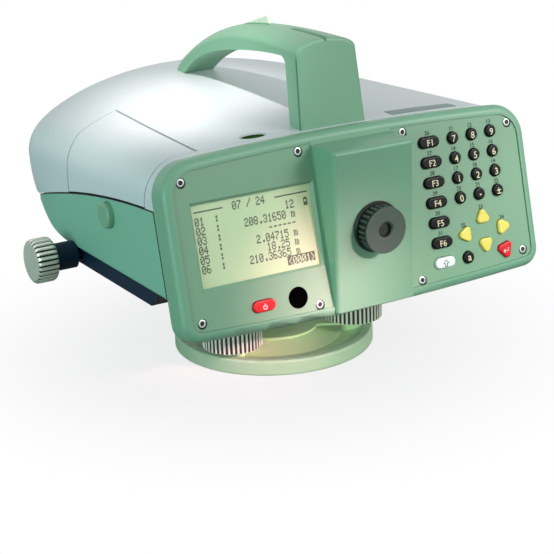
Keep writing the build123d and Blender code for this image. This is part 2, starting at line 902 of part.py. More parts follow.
# Front frame: rounded rim, raised middle column, two pockets and the openings behind them
with BuildPart() as front_frame:
    with BuildSketch(panel):
        add(panel_outline(0))
    extrude(amount=-frame_depth)
    fillet(front_frame.faces().sort_by(panel_normal)[-1].edges(), frame_edge)
    with BuildSketch(Plane.YZ):
        root_high = panel_y + (column_top - panel_z) * tan(radians(panel_tilt)) + column_root
        root_low = panel_y + (column_bottom - panel_z) * tan(radians(panel_tilt)) + column_root
        with BuildLine():
            Polyline(
                (column_y, column_bottom),
                (column_y, column_top),
                (root_high, column_top),
                (root_low, column_bottom),
                close=True,
            )
        make_face()
    extrude(amount=column_half_width, both=True)
    face_edges = front_frame.faces().sort_by(Axis.Y)[0].edges()
    fillet(face_edges.sort_by(Axis.Z)[1:], column_edge)
    for side in (-1, 1):
        with BuildSketch(panel):
            add(bezel_outline(side, 0))
        extrude(amount=-pocket_depth, mode=Mode.SUBTRACT)
        with BuildSketch(panel):
            add(opening_outline(side, 0))
        extrude(amount=-(frame_depth - frame_back_wall), mode=Mode.SUBTRACT)
        with BuildSketch(panel):
            add(opening_outline(side, 0))
            with Locations((0, chin_top - panel_half_width)):
                Rectangle(2 * panel_half_width, 2 * panel_half_width, mode=Mode.SUBTRACT)
        extrude(amount=-frame_depth, mode=Mode.SUBTRACT)
        with BuildSketch(panel):
            with Locations(*screw_points(side)):
                Circle(screw_shank_radius + running)
        extrude(amount=-(bezel_recess + screw_length), mode=Mode.SUBTRACT)
    with BuildSketch(Plane.XZ.offset(-column_y)):
        with Locations((0, axis_z)):
            Circle(barrel_radius + sliding)
    extrude(amount=-(tube_front - column_y), mode=Mode.SUBTRACT)
save(front_frame.part, "front_frame")

# Every key: its name, plan, turn and place on the panel
arrow_keys = (("up", 90, 0, 1), ("down", 270, 0, -1), ("left", 180, -1, 0), ("right", 0, 1, 0))
digit_rows = (("7", "8", "9"), ("4", "5", "6"), ("1", "2", "3"), ("0", "point", "sign"))
function_keys = ("measure", "mode", "user", "program", "data", "escape", "shift")
keys = [("key_power", "pill", 0, (power_u, power_v))]
for row, word in enumerate(function_keys):
    keys.append((f"key_{word}", "pill", 0, (function_u, row_v - row * row_pitch)))
for row, words in enumerate(digit_rows):
    for column, word in enumerate(words):
        place = (digit_u + column * digit_pitch, row_v - row * row_pitch)
        keys.append((f"key_{word}", "round", 0, place))
for word, turn, step_u, step_v in arrow_keys:
    place = (arrow_u + step_u * arrow_step_u, arrow_v + step_v * arrow_step_v)
    keys.append((f"key_{word}", "arrow", turn, place))
keys.append(("key_letters", "round", 0, (digit_u, alpha_v)))
keys.append(("key_enter", "enter", 45, (digit_u + 2 * digit_pitch, alpha_v)))

for key_name, kind, turn, place in keys:
    with BuildPart() as key:
        with BuildSketch(panel.offset(key_top)):
            add(key_outline(kind, turn, place, 0))
        extrude(amount=-(key_top + key_flange_bottom))
        fillet(key.faces().sort_by(panel_normal)[-1].edges(), key_edge)
        with BuildSketch(panel.offset(-key_flange_top)):
            add(key_outline(kind, turn, place, key_flange))
        extrude(amount=-key_flange_thickness)
    save(key.part, key_name)

# Display bezel and keypad panel, each with its holes and four screw seats
for panel_name, side in (("display_bezel", -1), ("keypad_panel", 1)):
    face = panel.offset(-bezel_recess)
    with BuildPart() as bezel:
        with BuildSketch(face):
            add(bezel_outline(side, bezel_gap))
        extrude(amount=-bezel_thickness)
        if side < 0:
            with BuildSketch(face):
                with Locations((lcd_u, lcd_v)):
                    Rectangle(lcd_width, lcd_height)
            extrude(amount=-bezel_thickness, mode=Mode.SUBTRACT)
            window = bezel.faces().sort_by(panel_normal)[-1].inner_wires()
            chamfer(window.edges(), lcd_bevel)
            with BuildSketch(face.offset(-lcd_lip)):
                with Locations((pane_u, lcd_v)):
                    Rectangle(pane_width + 2 * pane_gap, pane_height + 2 * pane_gap)
            extrude(amount=-bezel_thickness, mode=Mode.SUBTRACT)
            with BuildSketch(face):
                with Locations((level_hole_u, level_hole_v)):
                    Circle(level_hole_radius)
            extrude(amount=-bezel_thickness, mode=Mode.SUBTRACT)
        for key_name, kind, turn, place in keys:
            if place[0] * side > 0:
                with BuildSketch(face):
                    add(key_outline(kind, turn, place, key_gap))
                extrude(amount=-bezel_thickness, mode=Mode.SUBTRACT)
        with BuildSketch(face):
            with Locations(*screw_points(side)):
                Circle(screw_head_radius + screw_head_gap)
        extrude(amount=-screw_head_height, mode=Mode.SUBTRACT)
        with BuildSketch(face):
            with Locations(*screw_points(side)):
                Circle(screw_shank_radius + sliding)
        extrude(amount=-bezel_thickness, mode=Mode.SUBTRACT)
    save(bezel.part, panel_name)

# Socket screws of the two panels
with BuildPart() as panel_screws:
    face = panel.offset(-bezel_recess)
    for side in (-1, 1):
        with BuildSketch(face):
            with Locations(*screw_points(side)):
                Circle(screw_head_radius)
        extrude(amount=-screw_head_height)
        with BuildSketch(face):
            with Locations(*screw_points(side)):
                Circle(screw_shank_radius)
        extrude(amount=-screw_length)
        with BuildSketch(face):
            with Locations(*screw_points(side)):
                RegularPolygon(socket_width / 2, 6, major_radius=False)
        extrude(amount=-socket_depth, mode=Mode.SUBTRACT)
save(panel_screws.part, "panel_screws")

# Glass over the display, over the level's hole and in the cover's light window
with BuildPart() as windows:
    with BuildSketch(panel.offset(-pane_top)):
        with Locations((pane_u, lcd_v)):
            Rectangle(pane_width, pane_height)
    extrude(amount=-pane_thickness)
    with BuildSketch(panel.offset(-pocket_depth)):
        with Locations((level_hole_u, level_hole_v)):
            Circle(level_hole_radius - running)
    extrude(amount=level_pane_thickness)
    with BuildSketch(Plane.XY.offset(axis_z)):
        with Locations((light_x, light_y)):
            Ellipse(light_half_length, light_half_width)
    light_column = extrude(amount=form_top - axis_z, mode=Mode.PRIVATE)
    add((light_column & lip_form) - inner_form)
save(windows.part, "windows")

# Display module behind the glass
with BuildPart() as display_module:
    with BuildSketch(panel.offset(-pane_top - pane_thickness)):
        with Locations((pane_u, lcd_v)):
            Rectangle(pane_width, pane_height)
    extrude(amount=-display_thickness)
save(display_module.part, "display_module")

# Rubber mat under the keys, with its own small piece under the power key
with BuildPart() as keypad_mat:
    with BuildSketch(panel.offset(-mat_top)):
        add(opening_outline(1, sliding))
        add(key_outline("pill", 0, (power_u, power_v), power_board_margin))
    extrude(amount=-mat_thickness)
save(keypad_mat.part, "keypad_mat")

# Circuit boards: one under each mat, and the main board on posts in the housing
with BuildPart() as main_board:
    with BuildSketch(panel.offset(-board_top)):
        add(opening_outline(1, sliding))
        add(key_outline("pill", 0, (power_u, power_v), power_board_margin))
    extrude(amount=-key_board_thickness)
    with BuildSketch(Plane.XY.offset(floor_top + board_lift)):
        with Locations((board_x, board_y)):
            Rectangle(board_width, board_length)
    extrude(amount=board_thickness)
save(main_board.part, "main_board")

# Telescope tube with the objective's cell, the focusing slot, the pendulum's pin and the sensor's port
with BuildPart() as telescope_tube:
    with BuildSketch(Plane.XZ.offset(-tube_front)):
        with Locations((0, axis_z)):
            Circle(tube_radius)
    extrude(amount=-(tube_rear - tube_front))
    with BuildSketch(Plane.XZ.offset(-tube_rear)):
        with Locations((0, axis_z)):
            Circle(cell_radius)
    extrude(amount=-(cell_rear - tube_rear))
    with BuildSketch(Plane.XZ.offset(-(tube_front + tube_front_wall))):
        with Locations((0, axis_z)):
            Circle(tube_bore)
    extrude(amount=-(cell_rear - tube_front), mode=Mode.SUBTRACT)
    with BuildSketch(Plane.XZ.offset(-lens_y)):
        with Locations((0, axis_z)):
            Circle(lens_radius + running)
    extrude(amount=-(cell_rear - lens_y), mode=Mode.SUBTRACT)
    with BuildSketch(Plane.XZ.offset(-tube_front)):
        with Locations((0, axis_z)):
            Circle(barrel_radius + running)
    extrude(amount=-tube_front_wall, mode=Mode.SUBTRACT)
    slot_length = arm_length + 2 * (focus_travel + rack_margin)
    with BuildSketch(Plane.YZ):
        with Locations((focus_y, axis_z)):
            Rectangle(slot_length, rack_height + 2 * sliding)
    extrude(amount=tube_radius + wall, mode=Mode.SUBTRACT)
    with BuildSketch(Plane.XY.offset(axis_z)):
        with Locations((0, sensor_y)):
            Rectangle(2 * sensor_port, 2 * sensor_port)
    extrude(amount=tube_radius + wall, mode=Mode.SUBTRACT)
    with BuildSketch(Plane.YZ):
        with Locations((pendulum_y, axis_z + pendulum_rise)):
            Circle(pin_radius)
    extrude(amount=tube_bore, both=True)
save(telescope_tube.part, "telescope_tube")

# Objective lens and eye lens
with BuildPart() as lenses:
    with BuildSketch(Plane.XZ.offset(-lens_y)):
        with Locations((0, axis_z)):
            Circle(lens_radius)
    extrude(amount=-lens_thickness)
    with BuildSketch(Plane.XZ.offset(-barrel_front)):
        with Locations((0, axis_z)):
            Circle(barrel_bore)
    extrude(amount=-eye_lens_thickness)
save(lenses.part, "lenses")

# Focusing lens carriage with the arm and rack that the knob's pinion draws
with BuildPart() as focus_carriage:
    carriage_start = focus_y - carriage_length / 2
    with BuildSketch(Plane.XZ.offset(-carriage_start)):
        with Locations((0, axis_z)):
            Circle(tube_bore - running)
            Circle(tube_bore - carriage_wall, mode=Mode.SUBTRACT)
    extrude(amount=-carriage_length)
    with BuildSketch(Plane.XZ.offset(-(focus_y - focus_lens_thickness / 2))):
        with Locations((0, axis_z)):
            Circle(tube_bore - carriage_wall)
    extrude(amount=-focus_lens_thickness)
    with BuildSketch(Plane.YZ.offset(tube_bore - carriage_wall / 2)):
        with Locations((focus_y, axis_z)):
            Rectangle(arm_length, rack_height)
    extrude(amount=pinion_start + pinion_width - tube_bore + carriage_wall / 2)
    rack_length = 2 * (focus_travel + pinion_reach + rack_margin)
    with BuildSketch(Plane.YZ.offset(pinion_start)):
        with Locations((focus_y, axis_z)):
            Rectangle(rack_length, rack_height)
    extrude(amount=pinion_width)
save(focus_carriage.part, "focus_carriage")

# Focusing knob with its shaft and the pinion under the rack
with BuildPart() as focus_knob:
    with BuildSketch(Plane.YZ.offset(pinion_start)):
        with Locations((focus_y, focus_z)):
            Circle(pinion_reach)
    extrude(amount=pinion_width)
    with BuildSketch(Plane.YZ.offset(pinion_start)):
        with Locations((focus_y, focus_z)):
            Circle(focus_shaft_radius)
    extrude(amount=focus_knob_start - pinion_start)
    with BuildSketch(Plane.YZ.offset(focus_knob_start)):
        with Locations((focus_y, focus_z)):
            add(knurled(focus_knob_radius - focus_rib_radius, focus_knob_ribs, focus_rib_radius))
    extrude(amount=focus_knob_width)
save(focus_knob.part, "focus_knob")

# Compensator pendulum: an eye on the tube's cross pin, a stem and a mirror block
with BuildPart() as compensator_pendulum:
    eye_z = axis_z + pendulum_rise
    with BuildSketch(Plane.YZ):
        with Locations((pendulum_y, eye_z)):
            Circle(pendulum_eye)
        with Locations((pendulum_y, eye_z - pendulum_drop / 2)):
            Rectangle(mirror_thickness, pendulum_drop)
    extrude(amount=pendulum_width / 2, both=True)
    with BuildSketch(Plane.YZ):
        with Locations((pendulum_y, eye_z - pendulum_drop - mirror_height / 2)):
            Rectangle(mirror_thickness, mirror_height)
    extrude(amount=mirror_width / 2, both=True)
    with BuildSketch(Plane.YZ):
        with Locations((pendulum_y, eye_z)):
            Circle(pin_radius + running)
    extrude(amount=pendulum_width, both=True, mode=Mode.SUBTRACT)
save(compensator_pendulum.part, "compensator_pendulum")

# Image sensor module on top of the tube, seated over its port
with BuildPart() as sensor_module:
    with BuildSketch(Plane.XY.offset(axis_z)):
        with Locations((0, sensor_y)):
            Rectangle(sensor_width, sensor_length)
    extrude(amount=tube_radius + sensor_height)
    with BuildSketch(Plane.XZ.offset(-(sensor_y - sensor_length))):
        with Locations((0, axis_z)):
            Circle(tube_radius)
    extrude(amount=-2 * sensor_length, mode=Mode.SUBTRACT)
save(sensor_module.part, "sensor_module")

# Eyepiece barrel through the column into the tube
with BuildPart() as eyepiece_barrel:
    with BuildSketch(Plane.XZ.offset(-barrel_front)):
        with Locations((0, axis_z)):
            Circle(barrel_radius)
            Circle(barrel_bore, mode=Mode.SUBTRACT)
    extrude(amount=-(tube_front + tube_front_wall - barrel_front))
save(eyepiece_barrel.part, "eyepiece_barrel")

# Knurled dioptre ring over the barrel's end
ring_back = column_y - sliding
with BuildPart() as eyepiece_ring:
    with BuildSketch(Plane.XZ.offset(-ring_back)):
        with Locations((0, axis_z)):
            Circle(ring_base_radius)
    extrude(amount=ring_base_length)
    with BuildSketch(Plane.XZ.offset(-ring_back)):
        with Locations((0, axis_z)):
            add(knurled(ring_face_radius, ring_ribs, ring_rib_radius))
    extrude(amount=ring_back - ring_front - ring_face_wall)
    with BuildSketch(Plane.XZ.offset(-ring_back)):
        with Locations((0, axis_z)):
            Circle(ring_face_radius)
    extrude(amount=ring_back - ring_front)
    with BuildSketch(Plane.XZ.offset(-ring_back)):
        with Locations((0, axis_z)):
            Circle(barrel_radius + running)
    extrude(amount=ring_back - barrel_front + sliding, mode=Mode.SUBTRACT)
    with BuildSketch(Plane.XZ.offset(-ring_back)):
        with Locations((0, axis_z)):
            Circle(ring_hole_radius)
    extrude(amount=ring_back - ring_front, mode=Mode.SUBTRACT)
save(eyepiece_ring.part, "eyepiece_ring")

# Battery pack on the housing's floor behind the door
with BuildPart() as battery:
    with Locations((battery_x, battery_y, floor_top + battery_size[2] / 2)):
        Box(*battery_size)
save(battery.part, "battery")

# Circular level on the housing's floor under the light window
with BuildPart() as circular_level:
    with BuildSketch(Plane.XY.offset(floor_top)):
        with Locations((level_hole_u, vial_y)):
            Circle(vial_radius)
    extrude(amount=vial_height)
save(circular_level.part, "circular_level")

# Carry handle: an arch over the cover, wide at the front, with a sighting groove and a fin on its ridge
with BuildPart() as carry_handle:
    ridge_front = handle_ridge[0][0]
    ridge_rear, ridge_end = handle_ridge[-1]
    handle_foot = ridge_end - handle_arch - handle_root
    for y, ridge_top in handle_ridge:
        along = (y - ridge_front) / (ridge_rear - ridge_front)
        half = handle_front_half + along * (handle_rear_half - handle_front_half)
        foot_half = half + handle_draft * (1 - along)
        with BuildSketch(Plane.XZ.offset(-y)):
            with BuildLine():
                shoulder = (0, ridge_top - handle_arch)
                arch = EllipticalCenterArc(shoulder, half, handle_arch, start_angle=0, arc_size=180)
                Polyline(arch @ 1, (-foot_half, handle_foot), (foot_half, handle_foot), arch @ 0)
            make_face()
    loft()
    with BuildSketch(Plane.YZ) as handle_side:
        with BuildLine():
            Polyline(
                handle_front_low,
                handle_front_high,
                (ridge_rear, handle_front_high[1]),
                (ridge_rear, handle_inner_tail[1]),
                handle_inner_tail,
            )
            Spline(handle_inner_tail, *handle_inner, handle_inner_corner)
            Polyline(handle_inner_corner, handle_inner_low, handle_front_low)
        make_face()
        fillet(handle_side.vertices().sort_by_distance(handle_inner_corner)[0], handle_inner_radius)
    extrude(amount=2 * handle_front_half, both=True, mode=Mode.INTERSECT)
    fillet(carry_handle.faces().sort_by(Axis.Y)[0].edges().sort_by(Axis.Z)[-1], handle_brow)
    with BuildSketch(Plane.XZ.offset(-handle_front_low[0])):
        with BuildLine():
            Polyline(
                (0, groove_top - groove_depth),
                (2 * groove_half_width, groove_top + groove_depth),
                (-2 * groove_half_width, groove_top + groove_depth),
                close=True,
            )
        make_face()
    extrude(amount=-groove_length, mode=Mode.SUBTRACT)
    with BuildSketch(Plane.YZ):
        with BuildLine():
            Polyline(fin_rear, fin_tip, fin_foot, close=True)
        make_face()
    extrude(amount=fin_half_width, both=True)
    add(outer_form, mode=Mode.SUBTRACT)
save(carry_handle.part, "carry_handle")
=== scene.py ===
# %% [markdown]
# # Dressing a digital surveying level
# The solids come from the CAD work, packed with their joints, and stand in metres on the ground plane.
# This lesson keeps every solid whose shape is right, gives it a finish, and adds what a CAD model leaves out:
# the print on the keys, the characters on the display, the knurled grip of the eyepiece, the lenses.
# The box of the bare solids is kept: the dressing stays inside it.

# %% Load the imported solids
import json
import bmesh
import bpy
from math import cos, pi, radians, sin
from mathutils import Matrix, Vector
from mathutils.bvhtree import BVHTree


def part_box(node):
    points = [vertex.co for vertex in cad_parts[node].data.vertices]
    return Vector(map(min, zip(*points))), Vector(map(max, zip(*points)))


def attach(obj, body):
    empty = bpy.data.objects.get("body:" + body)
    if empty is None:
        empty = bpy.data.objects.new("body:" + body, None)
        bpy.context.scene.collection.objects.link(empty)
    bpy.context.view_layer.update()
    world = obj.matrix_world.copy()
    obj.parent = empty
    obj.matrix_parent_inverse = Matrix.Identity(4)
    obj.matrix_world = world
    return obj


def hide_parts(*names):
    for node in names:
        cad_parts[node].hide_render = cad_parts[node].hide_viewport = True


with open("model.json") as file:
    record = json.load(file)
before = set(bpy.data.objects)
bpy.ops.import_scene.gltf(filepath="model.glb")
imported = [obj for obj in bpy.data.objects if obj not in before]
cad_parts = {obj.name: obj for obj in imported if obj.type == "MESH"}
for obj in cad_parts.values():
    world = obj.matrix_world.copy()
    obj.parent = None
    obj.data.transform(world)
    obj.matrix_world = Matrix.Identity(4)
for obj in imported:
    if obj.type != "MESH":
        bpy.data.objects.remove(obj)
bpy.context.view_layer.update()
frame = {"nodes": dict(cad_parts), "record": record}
nodes = frame["nodes"]
scene = bpy.context.scene
link = scene.collection.objects.link
MM = 0.001

# %% [markdown]
# ## Camera
# The photograph was taken with a long lens, from the operator's left and a little above the display.
# A camera can be placed by eye, but here its place was worked out from points known on the solids,
# so it is written as a place, three angles and a focal length in pixels of the square picture.

# %% Camera
view_place = Vector((-0.409216, -0.711231, 0.312768))
view_yaw, view_rise, view_roll = -30.102, 18.773, 2.049
focal_pixels, picture_pixels = 1696.0, 554

camera_data = bpy.data.cameras.new("camera")
camera_data.lens = focal_pixels * camera_data.sensor_width / picture_pixels
camera = bpy.data.objects.new("camera", camera_data)
pose = Matrix.Translation(view_place)
for degrees, axis in ((view_yaw, "Z"), (90 - view_rise, "X"), (-view_roll, "Z")):
    pose @= Matrix.Rotation(radians(degrees), 4, axis)
camera.matrix_world = pose
link(camera)
scene.camera = camera
print("lens of", round(camera_data.lens, 1), "mm")

# %% [markdown]
# ## Nodes from Python
# Materials, the world and Geometry Nodes are all trees of nodes. Wiring them by hand in a script is long, so
# one small class wraps a socket, and adding or multiplying two of them adds the Math node for it. A second
# class wraps a tree: one method makes any node, and the others make those that are used most.

# %% Sockets and trees
class Wire:
    """One output of a node. Arithmetic on it adds Math nodes to its tree."""

    def __init__(self, tree, socket):
        self.tree = tree
        self.socket = socket

    def __add__(self, other):
        return self.tree.maths("ADD", self, other)

    def __sub__(self, other):
        return self.tree.maths("SUBTRACT", self, other)

    def __rsub__(self, other):
        return self.tree.maths("SUBTRACT", other, self)

    def __mul__(self, other):
        return self.tree.maths("MULTIPLY", self, other)

    __radd__ = __add__
    __rmul__ = __mul__


class Tree:
    """A tree of nodes, with methods that make nodes in it."""

    def __init__(self, tree):
        self.tree = tree

    def plug(self, socket, value):
        """Link a wire to a socket, or set the socket to a plain value."""
        if isinstance(value, Wire):
            self.tree.links.new(value.socket, socket)
        else:
            socket.default_value = value

    def node(self, kind, sockets=None, settings=None, output=0):
        node = self.tree.nodes.new(kind)
        for name, value in (settings or {}).items():
            setattr(node, name, value)
        for name, value in (sockets or {}).items():
            self.plug(node.inputs[name], value)
        return Wire(self, node.outputs[output]) if len(node.outputs) else node

    def maths(self, operation, *values):
        return self.node("ShaderNodeMath", dict(enumerate(values)), {"operation": operation})

    def vector_maths(self, operation, *values, output=0):
        return self.node("ShaderNodeVectorMath", dict(enumerate(values)), {"operation": operation}, output)

    def blend(self, mask, first, second):
        return self.node("ShaderNodeMix", {0: mask, 6: first, 7: second}, {"data_type": "RGBA"}, output=2)

    def step(self, value, low, high, start=0.0):
        """A soft step from start to 1 between two values."""
        sockets = {"Value": value, "From Min": low, "From Max": high, "To Min": start}
        return self.node("ShaderNodeMapRange", sockets, {"interpolation_type": "SMOOTHSTEP"})


print("wires and trees are ready")

# %% [markdown]
# ## Light, floor and background
# A studio lights an instrument with large soft boxes, so that paint shows its colour and edges show a gentle
# highlight. A faint box hangs above, one stands to the right of the operator and a cool one to the left.
# Four narrow lamps add pools of light: on the cover, a warm one on the column round the eyepiece, one on the
# keypad and a low one on the base. The camera, and anything that mirrors, sees the world as white.

# %% World and lamps
world = bpy.data.worlds.new("studio")
scene.world = world
world.use_nodes = True
world.node_tree.nodes.clear()
room = Tree(world.node_tree)
ambient_level, ambient_colour = 0.32, (0.80, 1.0, 0.98, 1)
plain_white = (1, 1, 1, 1)
rays = [room.node("ShaderNodeLightPath", output=f"Is {kind} Ray")
        for kind in ("Camera", "Glossy", "Transmission")]
seen = room.node("ShaderNodeClamp", {0: sum(rays, 0.0)})
room_light = room.node("ShaderNodeBackground", {
    "Color": room.blend(seen, ambient_colour, plain_white),
    "Strength": ambient_level + (1 - ambient_level) * seen})
room.node("ShaderNodeOutputWorld", {"Surface": room_light})
scene.view_settings.view_transform = "Standard"


def pool(degrees, blend, softness):
    """Settings of a narrow lamp."""
    return {"spot_size": radians(degrees), "spot_blend": blend, "shadow_soft_size": softness}


white_light, soft_white, green_light = (1, 1, 1), (1.0, 0.94, 0.92), (0.90, 1.0, 0.85)
warm_light, cool_light = (1.0, 0.50, 0.58), (0.66, 1.0, 0.98)
lamps = {
    "lamp_above": ((-0.15, 0.1, 1.3), (0, 0, 0.1), 0.7, white_light, {"size": 0.9}),
    "lamp_right": ((0.75, -1.0, 0.75), (0.02, -0.08, 0.08), 9.4, white_light, {"size": 0.6}),
    "lamp_left": ((-1.25, -0.4, 0.2), (-0.08, 0, 0.07), 9.0, cool_light, {"size": 0.6}),
    "pool_on_cover": ((-0.38, -0.53, 0.89), (-0.034, 0.018, 0.127), 78.0, soft_white, pool(7.6, 1.0, 0.03)),
    "pool_on_column": ((0.28, -1.05, 0.52), (-0.022, -0.090, 0.051), 150.0, warm_light, pool(3.8, 0.9, 0.03)),
    "pool_on_panel": ((0.55, -1.0, 0.5), (0.112, -0.09, 0.085), 27.0, soft_white, pool(9.0, 1.0, 0.06)),
    "pool_on_base": ((0.12, -0.85, 0.09), (0.01, -0.02, 0.006), 8.0, green_light, pool(11.0, 1.0, 0.04)),
}
for name, (place, aim, watts, colour, settings) in lamps.items():
    lamp = bpy.data.lights.new(name, "AREA" if "size" in settings else "SPOT")
    for setting, value in {"energy": watts, "color": colour, **settings}.items():
        setattr(lamp, setting, value)
    holder = bpy.data.objects.new(name, lamp)
    facing = (Vector(place) - Vector(aim)).to_track_quat("Z", "Y").to_matrix().to_4x4()
    holder.matrix_world = Matrix.Translation(Vector(place)) @ facing
    link(holder)
print(len(lamps), "lamps")

# %% [markdown]
# The floor is a wide pale disc under the base plate. Near the instrument it is diffuse and takes the soft
# shadow. Further out a camera ray meets plain white, and the floor runs into the background without an edge.
# It is worked out in a bmesh, which then becomes a mesh.

# %% Floor
def mesh_from(work, name):
    """The mesh of a bmesh, which is then freed."""
    mesh = bpy.data.meshes.new(name)
    work.to_mesh(mesh)
    work.free()
    return mesh


floor_radius, floor_drop = 6.0, 0.3 * MM
shadow_from, shadow_to, least_white = 0.04, 0.2, 0.8
disc = bmesh.new()
bmesh.ops.create_circle(disc, cap_ends=True, segments=96, radius=floor_radius)
bmesh.ops.translate(disc, verts=disc.verts, vec=(0, 0, -floor_drop))
floor = bpy.data.objects.new("floor", mesh_from(disc, "floor"))
link(floor)

floor_material = bpy.data.materials.new("pale_floor")
floor_material.use_nodes = True
floor_material.node_tree.nodes.clear()
ground = Tree(floor_material.node_tree)
spot = ground.node("ShaderNodeTexCoord", output="Object")
far = ground.step(ground.vector_maths("LENGTH", spot, output="Value"), shadow_from, shadow_to, least_white)
grain = ground.node("ShaderNodeTexNoise", {"Vector": spot, "Scale": 30.0})
matt = ground.node("ShaderNodeBsdfDiffuse", {
    "Color": (0.5, 0.5, 0.5, 1), "Roughness": 0.6 + 0.2 * grain})
white = ground.node("ShaderNodeEmission", {"Color": plain_white})
camera_ray = ground.node("ShaderNodeLightPath", output="Is Camera Ray")
mixed = ground.node("ShaderNodeMixShader", {0: camera_ray * far, 1: matt, 2: white})
ground.node("ShaderNodeOutputMaterial", {"Surface": mixed})
floor.data.materials.append(floor_material)
print("floor of", floor_radius, "m")

# %% [markdown]
# ## A finish and its paint
# Every material here is a Principled shader with a pattern behind its colour, roughness and normal.
# The pattern reads Object coordinates, which are metres in the frame of the solids, so a grain of a fifth
# of a millimetre is a scale of a few thousand, and nothing slides when a joint moves. A finish is kept
# under its name, where the solids find it at the end.

# %% Finishes
finishes = {}


def tint(red, green, blue):
    """Linear colour from the 0 to 255 values seen on a screen."""
    return *(((level / 255 + 0.055) / 1.055) ** 2.4 for level in (red, green, blue)), 1.0


def shade(colour, factor):
    """The same colour, lighter or darker."""
    return *(min(level * factor, 1.0) for level in colour[:3]), 1.0


class Finish(Tree):
    """A Principled material with helpers for its patterns."""

    def __init__(self, name):
        self.material = bpy.data.materials.new(name)
        self.material.use_nodes = True
        super().__init__(self.material.node_tree)
        self.shader = self.tree.nodes["Principled BSDF"]
        self.place = self.node("ShaderNodeTexCoord", output="Object")
        finishes[name] = self

    def set(self, **sockets):
        """Set or link the shader's sockets, written with _ for the spaces in their names."""
        for name, value in sockets.items():
            self.plug(self.shader.inputs[name.replace("_", " ")], value)
        return self

    def over(self, mask, colour):
        """Lay a colour over the one that the shader has, where the mask is 1."""
        under = Wire(self, self.shader.inputs["Base Color"].links[0].from_socket)
        return self.set(Base_Color=self.blend(mask, under, colour))

    def noise(self, scale, detail=1.0):
        return self.node("ShaderNodeTexNoise", {
            "Vector": self.place, "Scale": scale, "Detail": detail})

    def mottle(self, mask, colour, darker, lighter):
        """A colour that varies between two shades of itself."""
        return self.blend(mask, shade(colour, darker), shade(colour, lighter))

    def bump(self, height, strength, distance):
        return self.node("ShaderNodeBump", {
            "Strength": strength, "Distance": distance, "Height": height})

    def along(self, axis):
        """One coordinate of the place, in metres."""
        return self.node("ShaderNodeSeparateXYZ", {0: self.place}, output=axis)

    def radius(self, centre, spread):
        """Distance from an axis: spread is 0 along the axis and 1 across it."""
        arm = self.vector_maths("SUBTRACT", self.place, centre)
        return self.vector_maths("LENGTH", self.vector_maths("MULTIPLY", arm, spread), output="Value")

    def past(self, distance, low, high):
        """A mask that goes from 0 to 1 between two distances in millimetres."""
        return self.step(distance, low * MM, high * MM)

    def within(self, distance, low, high):
        """The opposite mask, from 1 to 0."""
        return 1 - self.past(distance, low, high)


def painted(name, colour, roughness, grain, relief):
    """Satin paint: soft clouds in the colour and a fine grain in the gloss."""
    finish = Finish(name)
    speck = finish.noise(grain)
    clouds = finish.mottle(finish.noise(11.0, 2.0), colour, 0.95, 1.05)
    return finish.set(
        Base_Color=finish.blend(0.25 * speck, clouds, shade(colour, 0.86)),
        Roughness=roughness + 0.16 * (speck - 0.5),
        Normal=finish.bump(speck, relief, 0.2 * MM),
    )


painted("frame_green", tint(118, 166, 136), 0.42, 1500.0, 0.12)
painted("panel_green", tint(126, 167, 136), 0.48, 1900.0, 0.10)
painted("cover_white", tint(206, 211, 214), 0.40, 2100.0, 0.12)
handle = painted("handle_green", tint(122, 168, 137), 0.45, 1700.0, 0.12)
print(list(finishes))

# %% [markdown]
# The open sight on the handle's ridge is part of the same casting, and a painted highlight makes it pale. A
# mask
# finds it by place: close to the middle plane, and above the curve of the ridge. A second mask draws the seam
# of
# the front leg: a dark line on its sides, a millimetre behind the plane of its front.

# %% Painted highlight on the sight, and seam of the handle
ridge_slope, ridge_bend, ridge_top = 0.115, 2.1, 164.25 * MM
beside = handle.maths("ABSOLUTE", handle.along("X"))
behind, above = handle.along("Y"), handle.along("Z")
over_ridge = above + ridge_slope * behind + ridge_bend * behind * behind - ridge_top
sight_highlight = handle.past(over_ridge, 0.5, 0.7) * handle.past(behind, -12, -11)
# painted highlight: the sight is painted a pale green-white
handle.over(sight_highlight * handle.within(beside, 1.25, 1.4), tint(216, 226, 204))
leg_slope, leg_foot_y, leg_foot_z = 0.141, -64 * MM, 118 * MM
from_front = behind - leg_foot_y - leg_slope * (above - leg_foot_z)
leg_line = handle.past(from_front, 0.5, 0.7) * handle.within(from_front, 1.2, 1.4)
handle.over(leg_line * handle.within(above, 156, 162), tint(52, 88, 66))
print("sight and seam masked")

# %% [markdown]
# ## Metal, rubber and plastic
# Turned metal carries fine rings left by the tool. The rings follow the distance from the axis of the
# piece, so a one-dimensional noise is read at that distance. On ribbed pieces a mask on the same distance
# darkens what lies deeper than the crests, as painted shade in the grooves. Lacquer makes a metal look less
# metallic.

# %% Turned metal
def turned_metal(name, colour, roughness, centre, spread, crest=None, metal=1.0):
    """Metal turned about an axis, with painted shade below the crests of its ribs (their radius in
    millimetres).
    """
    finish = Finish(name)
    out = finish.radius(centre, spread)
    rings = finish.node("ShaderNodeTexNoise", {"W": out, "Scale": 5200.0, "Detail": 2.0},
                        {"noise_dimensions": "1D"})
    bright = finish.mottle(finish.noise(160.0, 2.0), colour, 0.88, 1.06)
    if crest:
        # painted shade: the grooves between the ribs are darkened nearly to black
        groove_shade = finish.past(out, crest - 1.6, crest - 1.0) * finish.within(out, crest - 0.55, crest - 0.3)
        bright = finish.blend(groove_shade, bright, shade(colour, 0.05))
    return finish.set(
        Base_Color=bright,
        Metallic=metal,
        Roughness=roughness + 0.14 * rings,
        Normal=finish.bump(rings, 0.05, 0.1 * MM),
    )


def middle_of(node):
    """Middle of a solid's box."""
    low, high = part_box(node)
    return (low + high) / 2


